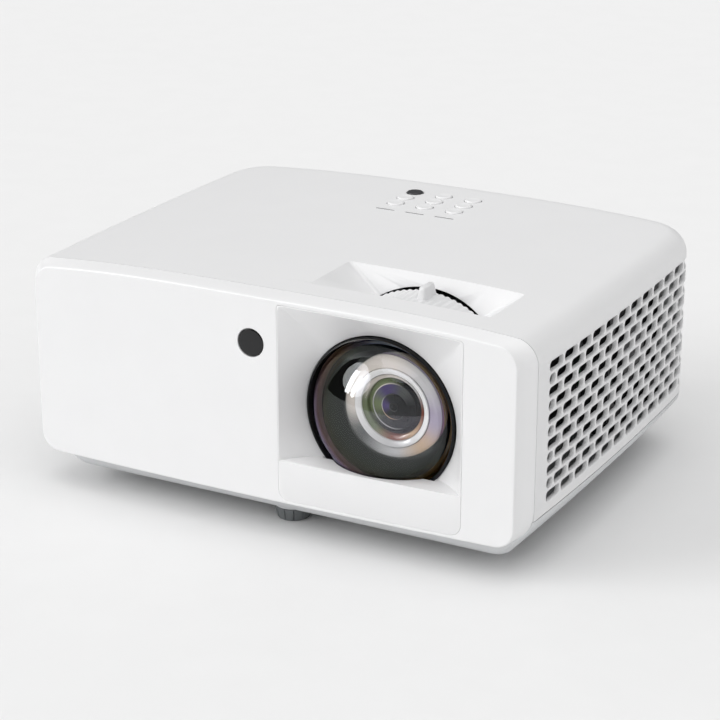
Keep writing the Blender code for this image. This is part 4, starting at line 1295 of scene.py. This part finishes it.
COATING = (  # how far the lens turns away from the viewer, colour of its reflections there
    (0.0, (0.014, 0.013, 0.018)), (0.15, (0.055, 0.055, 0.060)), (0.38, (0.050, 0.055, 0.050)),
    (0.52, (0.050, 0.050, 0.040)), (0.66, (0.120, 0.080, 0.070)), (0.78, (0.240, 0.190, 0.280)),
    (0.90, (0.360, 0.380, 0.430)),
)
WHITE = moulded("white_plastic", (0.83, 0.83, 0.835), 0.36)
ROOF_WHITE = moulded("roof_plastic", (0.80, 0.80, 0.805), 0.42, grain=0.08)
BASE_GREY = moulded("base_plastic", (0.66, 0.67, 0.68), 0.45)
FOOT_GREY = moulded("foot_rubber", (0.15, 0.16, 0.165), 0.4, grain=0.1)
DARK_KEY = moulded("dark_key_plastic", (0.05, 0.05, 0.055), 0.3)
BLACK = moulded("black_plastic_grain", (0.012, 0.012, 0.013), 0.38)
LENS_BLACK = moulded("lens_black_paint", (0.006, 0.006, 0.007), 0.3, grain=0.02)
WINDOW = moulded("infrared_window", (0.004, 0.004, 0.005), 0.07, grain=0.0, mottle=0.0)
GUIDE = moulded("light_guide_smoke", (0.22, 0.22, 0.23), 0.25, grain=0.0)
BOARD = circuit_board("solder_mask")
ALUMINIUM = metal("drawn_aluminium", (0.72, 0.73, 0.75), 0.35)
STEEL = metal("plated_steel", (0.50, 0.50, 0.52), 0.3)
SIDE_WHITE = moulded("side_plastic", (0.80, 0.80, 0.805), 0.42, grain=0.08)
KEY_WHITE = moulded("key_plastic", (0.83, 0.83, 0.835), 0.35, grain=0.03)
RING_GREY = moulded("ring_plastic", (0.74, 0.74, 0.745), 0.45)
GOLD = metal("gold_plate", (0.85, 0.62, 0.28), 0.25)
# The rings under the dome, coloured with painted reflections and painted highlights.
PAINTED_REFLECTION_OPTICS = optics_painted_reflections("optics_painted_reflections")
PHOSPHOR = moulded("phosphor_yellow", (0.80, 0.70, 0.12), 0.6)
DOME_GLASS = coated_dome("dome_glass")
INNER_GLASS = lens_glass("inner_glass", film=300.0)

SLOT_MATERIALS = {
    "white_shell": WHITE, "white_grille": WHITE, "light_grey": BASE_GREY, "grey_rubber": FOOT_GREY,
    "dark_key": DARK_KEY, "black_plastic": BLACK, "black_window": WINDOW, "clear_glass": INNER_GLASS,
    "light_guide": GUIDE, "green_board": BOARD, "aluminium": ALUMINIUM, "steel": STEEL, "phosphor": PHOSPHOR,
}


def finish_piece(obj, material, body, replaced=()):
    obj.data.materials.clear()
    obj.data.materials.append(material)
    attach(obj, body)
    if replaced:
        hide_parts(*replaced)
    return obj


def dress_cad():
    """Every CAD node that stays visible gets its slot's material."""
    slots = {s["node"]: s["material_slot"] for s in frame["record"]["subparts"]}
    for name, obj in frame["nodes"].items():
        obj.data.materials.clear()
        obj.data.materials.append(SLOT_MATERIALS[slots[name]])


# ---------------------------------------------------------------- staging

LIGHTS = (  # name, kind, place in metres, angle or height, power; the strip shows in reflections only
    ("key_sun", "SUN", (-1.6, -1.4, 1.15), 0.6, 1.15),
    ("top_sun", "SUN", (0.3, -0.5, 2.0), 0.9, 0.95),
    ("strip_light", "AREA", (-0.82, -0.82, 0.51), 0.55, 4.0),
)
LIGHT_TARGET = (0.0, 0.0, 0.06)
STUDIO_STRENGTH = 0.76
STUDIO_GREY = 0.86
STUDIO_GREY_REFLECTED = 0.13
CAMERA_LENS = 109.1
CAMERA_SENSOR = 36.0
CAMERA_PLACE = (487.35, -918.26, 438.33)
CAMERA_FORWARD = (-0.44359, 0.82670, -0.34611)


def stage_scene():
    scene = bpy.context.scene
    scene.view_settings.view_transform = "Standard"
    floor_mesh = bpy.data.meshes.new("floor")
    bm = bmesh.new()
    bmesh.ops.create_grid(bm, x_segments=2, y_segments=2, size=6.0)
    bm.to_mesh(floor_mesh)
    bm.free()
    floor = new_object("floor", floor_mesh)
    floor.data.materials.append(moulded("floor_paint", (0.79, 0.79, 0.79), 0.9, grain=0.0, specular=0.0))
    backdrop = bpy.data.worlds.new("studio")
    scene.world = backdrop
    backdrop.use_nodes = True
    background = backdrop.node_tree.nodes["Background"]
    background.inputs["Strength"].default_value = STUDIO_STRENGTH
    path = backdrop.node_tree.nodes.new("ShaderNodeLightPath")
    wall = backdrop.node_tree.nodes.new("ShaderNodeMixRGB")
    wall.inputs[1].default_value = (*[STUDIO_GREY] * 3, 1.0)
    wall.inputs[2].default_value = (*[STUDIO_GREY_REFLECTED] * 3, 1.0)
    backdrop.node_tree.links.new(path.outputs["Is Glossy Ray"], wall.inputs[0])
    backdrop.node_tree.links.new(wall.outputs[0], background.inputs["Color"])
    for name, kind, place, size, power in LIGHTS:
        light = bpy.data.lights.new(name, kind)
        light.energy = power
        if kind == "SUN":
            light.angle = size
        else:
            light.shape = "RECTANGLE"
            light.size = size / 4
            light.size_y = size
        lamp = bpy.data.objects.new(name, light)
        lamp.visible_diffuse = kind == "SUN"
        lamp.location = place
        aim = Vector(LIGHT_TARGET) - Vector(place)
        lamp.rotation_euler = aim.to_track_quat("-Z", "Y").to_euler()
        scene.collection.objects.link(lamp)
    camera = bpy.data.cameras.new("camera")
    camera.lens = CAMERA_LENS
    camera.sensor_width = CAMERA_SENSOR
    eye = bpy.data.objects.new("camera", camera)
    eye.location = world(*CAMERA_PLACE)
    eye.rotation_euler = Vector(CAMERA_FORWARD).to_track_quat("-Z", "Y").to_euler()
    scene.collection.objects.link(eye)
    scene.camera = eye


# ---------------------------------------------------------------- build

stage_scene()
dress_cad()
BODY = "projector"
walls = slotted_band("side_wall_skin")
finish_piece(walls, SIDE_WHITE, BODY, ("right_side_grille", "left_side_grille"))
finish_piece(roof(), ROOF_WHITE, BODY, ("top_cover",))
finish_piece(bezel(), WHITE, BODY, ("front_bezel",))
finish_piece(lens_panel(), WHITE, BODY, ("lens_surround",))
finish_piece(base_tray(), BASE_GREY, BODY, ("base_cover",))
finish_piece(rear_wall(), BASE_GREY, BODY, ("rear_panel",))
finish_piece(eye(), WINDOW, BODY, ("ir_window",))

for row, y in enumerate(KEY_Y):
    for column, x in enumerate(KEY_X):
        name = KEY_NAMES[row][column]
        dark = name == "power_button"
        finish_piece(key(name, x, y), DARK_KEY if dark else KEY_WHITE, name, (name,))
for name, x in zip(("power_light", "lamp_light", "temperature_light"), LED_X):
    outline = centred(x, LED_Y, *LED_GUIDE, 0.55, 4)
    guide = sharpen(prism(f"{name}_skin", outline, 112.0, roof_top(x) - 0.12))
    finish_piece(guide, GUIDE, BODY, (name,))

for name, (x, y) in FEET.items():
    finish_piece(foot_stem(name, x, y), KEY_WHITE, f"{name}_stem", (f"{name}_stem",))
    finish_piece(foot_pad(name, x, y), FOOT_GREY, f"{name}_pad", (f"{name}_pad",))

finish_piece(ribbed_ring(), RING_GREY, "focus_ring", ("focus_ring",))
finish_piece(dome(), DOME_GLASS, BODY, ("front_lens",))
finish_piece(retainer(), LENS_BLACK, BODY, ("lens_retainer",))
optics = inner_optics()
for name, obj in optics.items():
    body = BODY if name == "lens_steps" else "inner_lens_group"
    finish_piece(obj, PAINTED_REFLECTION_OPTICS, body)
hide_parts("inner_lens")
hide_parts("inner_cell")

front_y, mouth_y = SOCKET_Y
mouth = -mouth_y
low_y = mouth_y - 12.5
CONTACTS = {  # name, rise above the centre, width, height, depth behind the mouth, corner
    "hdmi_1": ("hdmi_1_tongue", 0.4, 11.0, 0.9, 1.5, 0.15),
    "hdmi_2": ("hdmi_2_tongue", 0.4, 11.0, 0.9, 1.5, 0.15),
    "usb_port": ("usb_port_tongue", 0.8, 11.0, 1.3, 1.5, 0.15),
    "network_port": ("network_port_block", 3.2, 9.0, 0.9, 4.0, 0.15),
    "serial_port": ("serial_port_block", 0.0, 15.6, 6.6, 7.0, 1.5),
}
for name, place in SOCKETS.items():
    shell = socket_shell(name, place, front_y, mouth_y, 12.0, 0.7)
    finish_piece(shell, STEEL, BODY, (name,))
    x, z = place[:2]
    label, rise, width, height, behind, corner = CONTACTS[name]
    contact = tongue(label, x, z + rise, width, height, low_y, mouth_y - behind, corner)
    finish_piece(contact, BLACK, BODY)
    if name == "network_port":
        for i in range(8):
            pin_x = x - 3.55 + 1.015 * i
            pin = tongue(f"{name}_pin_{i}", pin_x, z + 2.5, 0.45, 0.4, low_y, mouth_y - 4.4)
            finish_piece(pin, GOLD, BODY)
    if name == "serial_port":
        profile = [
            (0.0, mouth + 2.0), (0.3, mouth + 2.1), (0.5, mouth + 2.6), (0.5, mouth + 9.0),
            (0.0, mouth + 9.0),
        ]
        for i in range(9):
            upper = i < 5
            pin_x = x - 5.5 + 2.75 * i if upper else x - 4.1 + 2.75 * (i - 5)
            pin_centre = (pin_x, 0.0, z + (1.42 if upper else -1.42))
            pin = turned(f"{name}_pin_{i}", profile, pin_centre, "FRONT", 20)
            finish_piece(sharpen(pin), GOLD, BODY)
        profile = [
            (1.6, mouth), (1.6, mouth - 0.9), (2.5, mouth - 0.9), (2.8, mouth - 0.6), (2.8, mouth),
        ]
        for side in (-1, 1):
            post_centre = (x + side * 12.5, 0.0, z)
            post = turned(f"{name}_post_{side + 1}", profile, post_centre, "FRONT", 6)
            finish_piece(sharpen(post), STEEL, BODY)
x, z, size = AUDIO
block = standing_prism("audio_skin", centred(x, z, size, size, 0.6, 4), front_y, mouth_y - 0.6)
bore = [(0.0, -110.0), (2.2, -110.0), (1.8, mouth + 0.4), (1.8, -90.0), (0.0, -90.0)]
boolean(block, turned("jack_bore", bore, (x, 0.0, z), "FRONT", 40))
finish_piece(sharpen(block), BLACK, BODY, ("audio_out",))
inlet = socket_shell("ac_inlet", INLET, 84.0, 104.2, 15.2, 2.4)
finish_piece(inlet, BLACK, BODY, ("ac_inlet",))
x, z = INLET[:2]
for i, (dx, dz) in enumerate(((-7.0, -2.0), (7.0, -2.0), (0.0, 2.0))):
    blade = tongue(f"inlet_pin_{i}", x + dx, z + dz, 2.0, 4.0, 88.0, 100.5, 0.3)
    finish_piece(blade, STEEL, BODY)
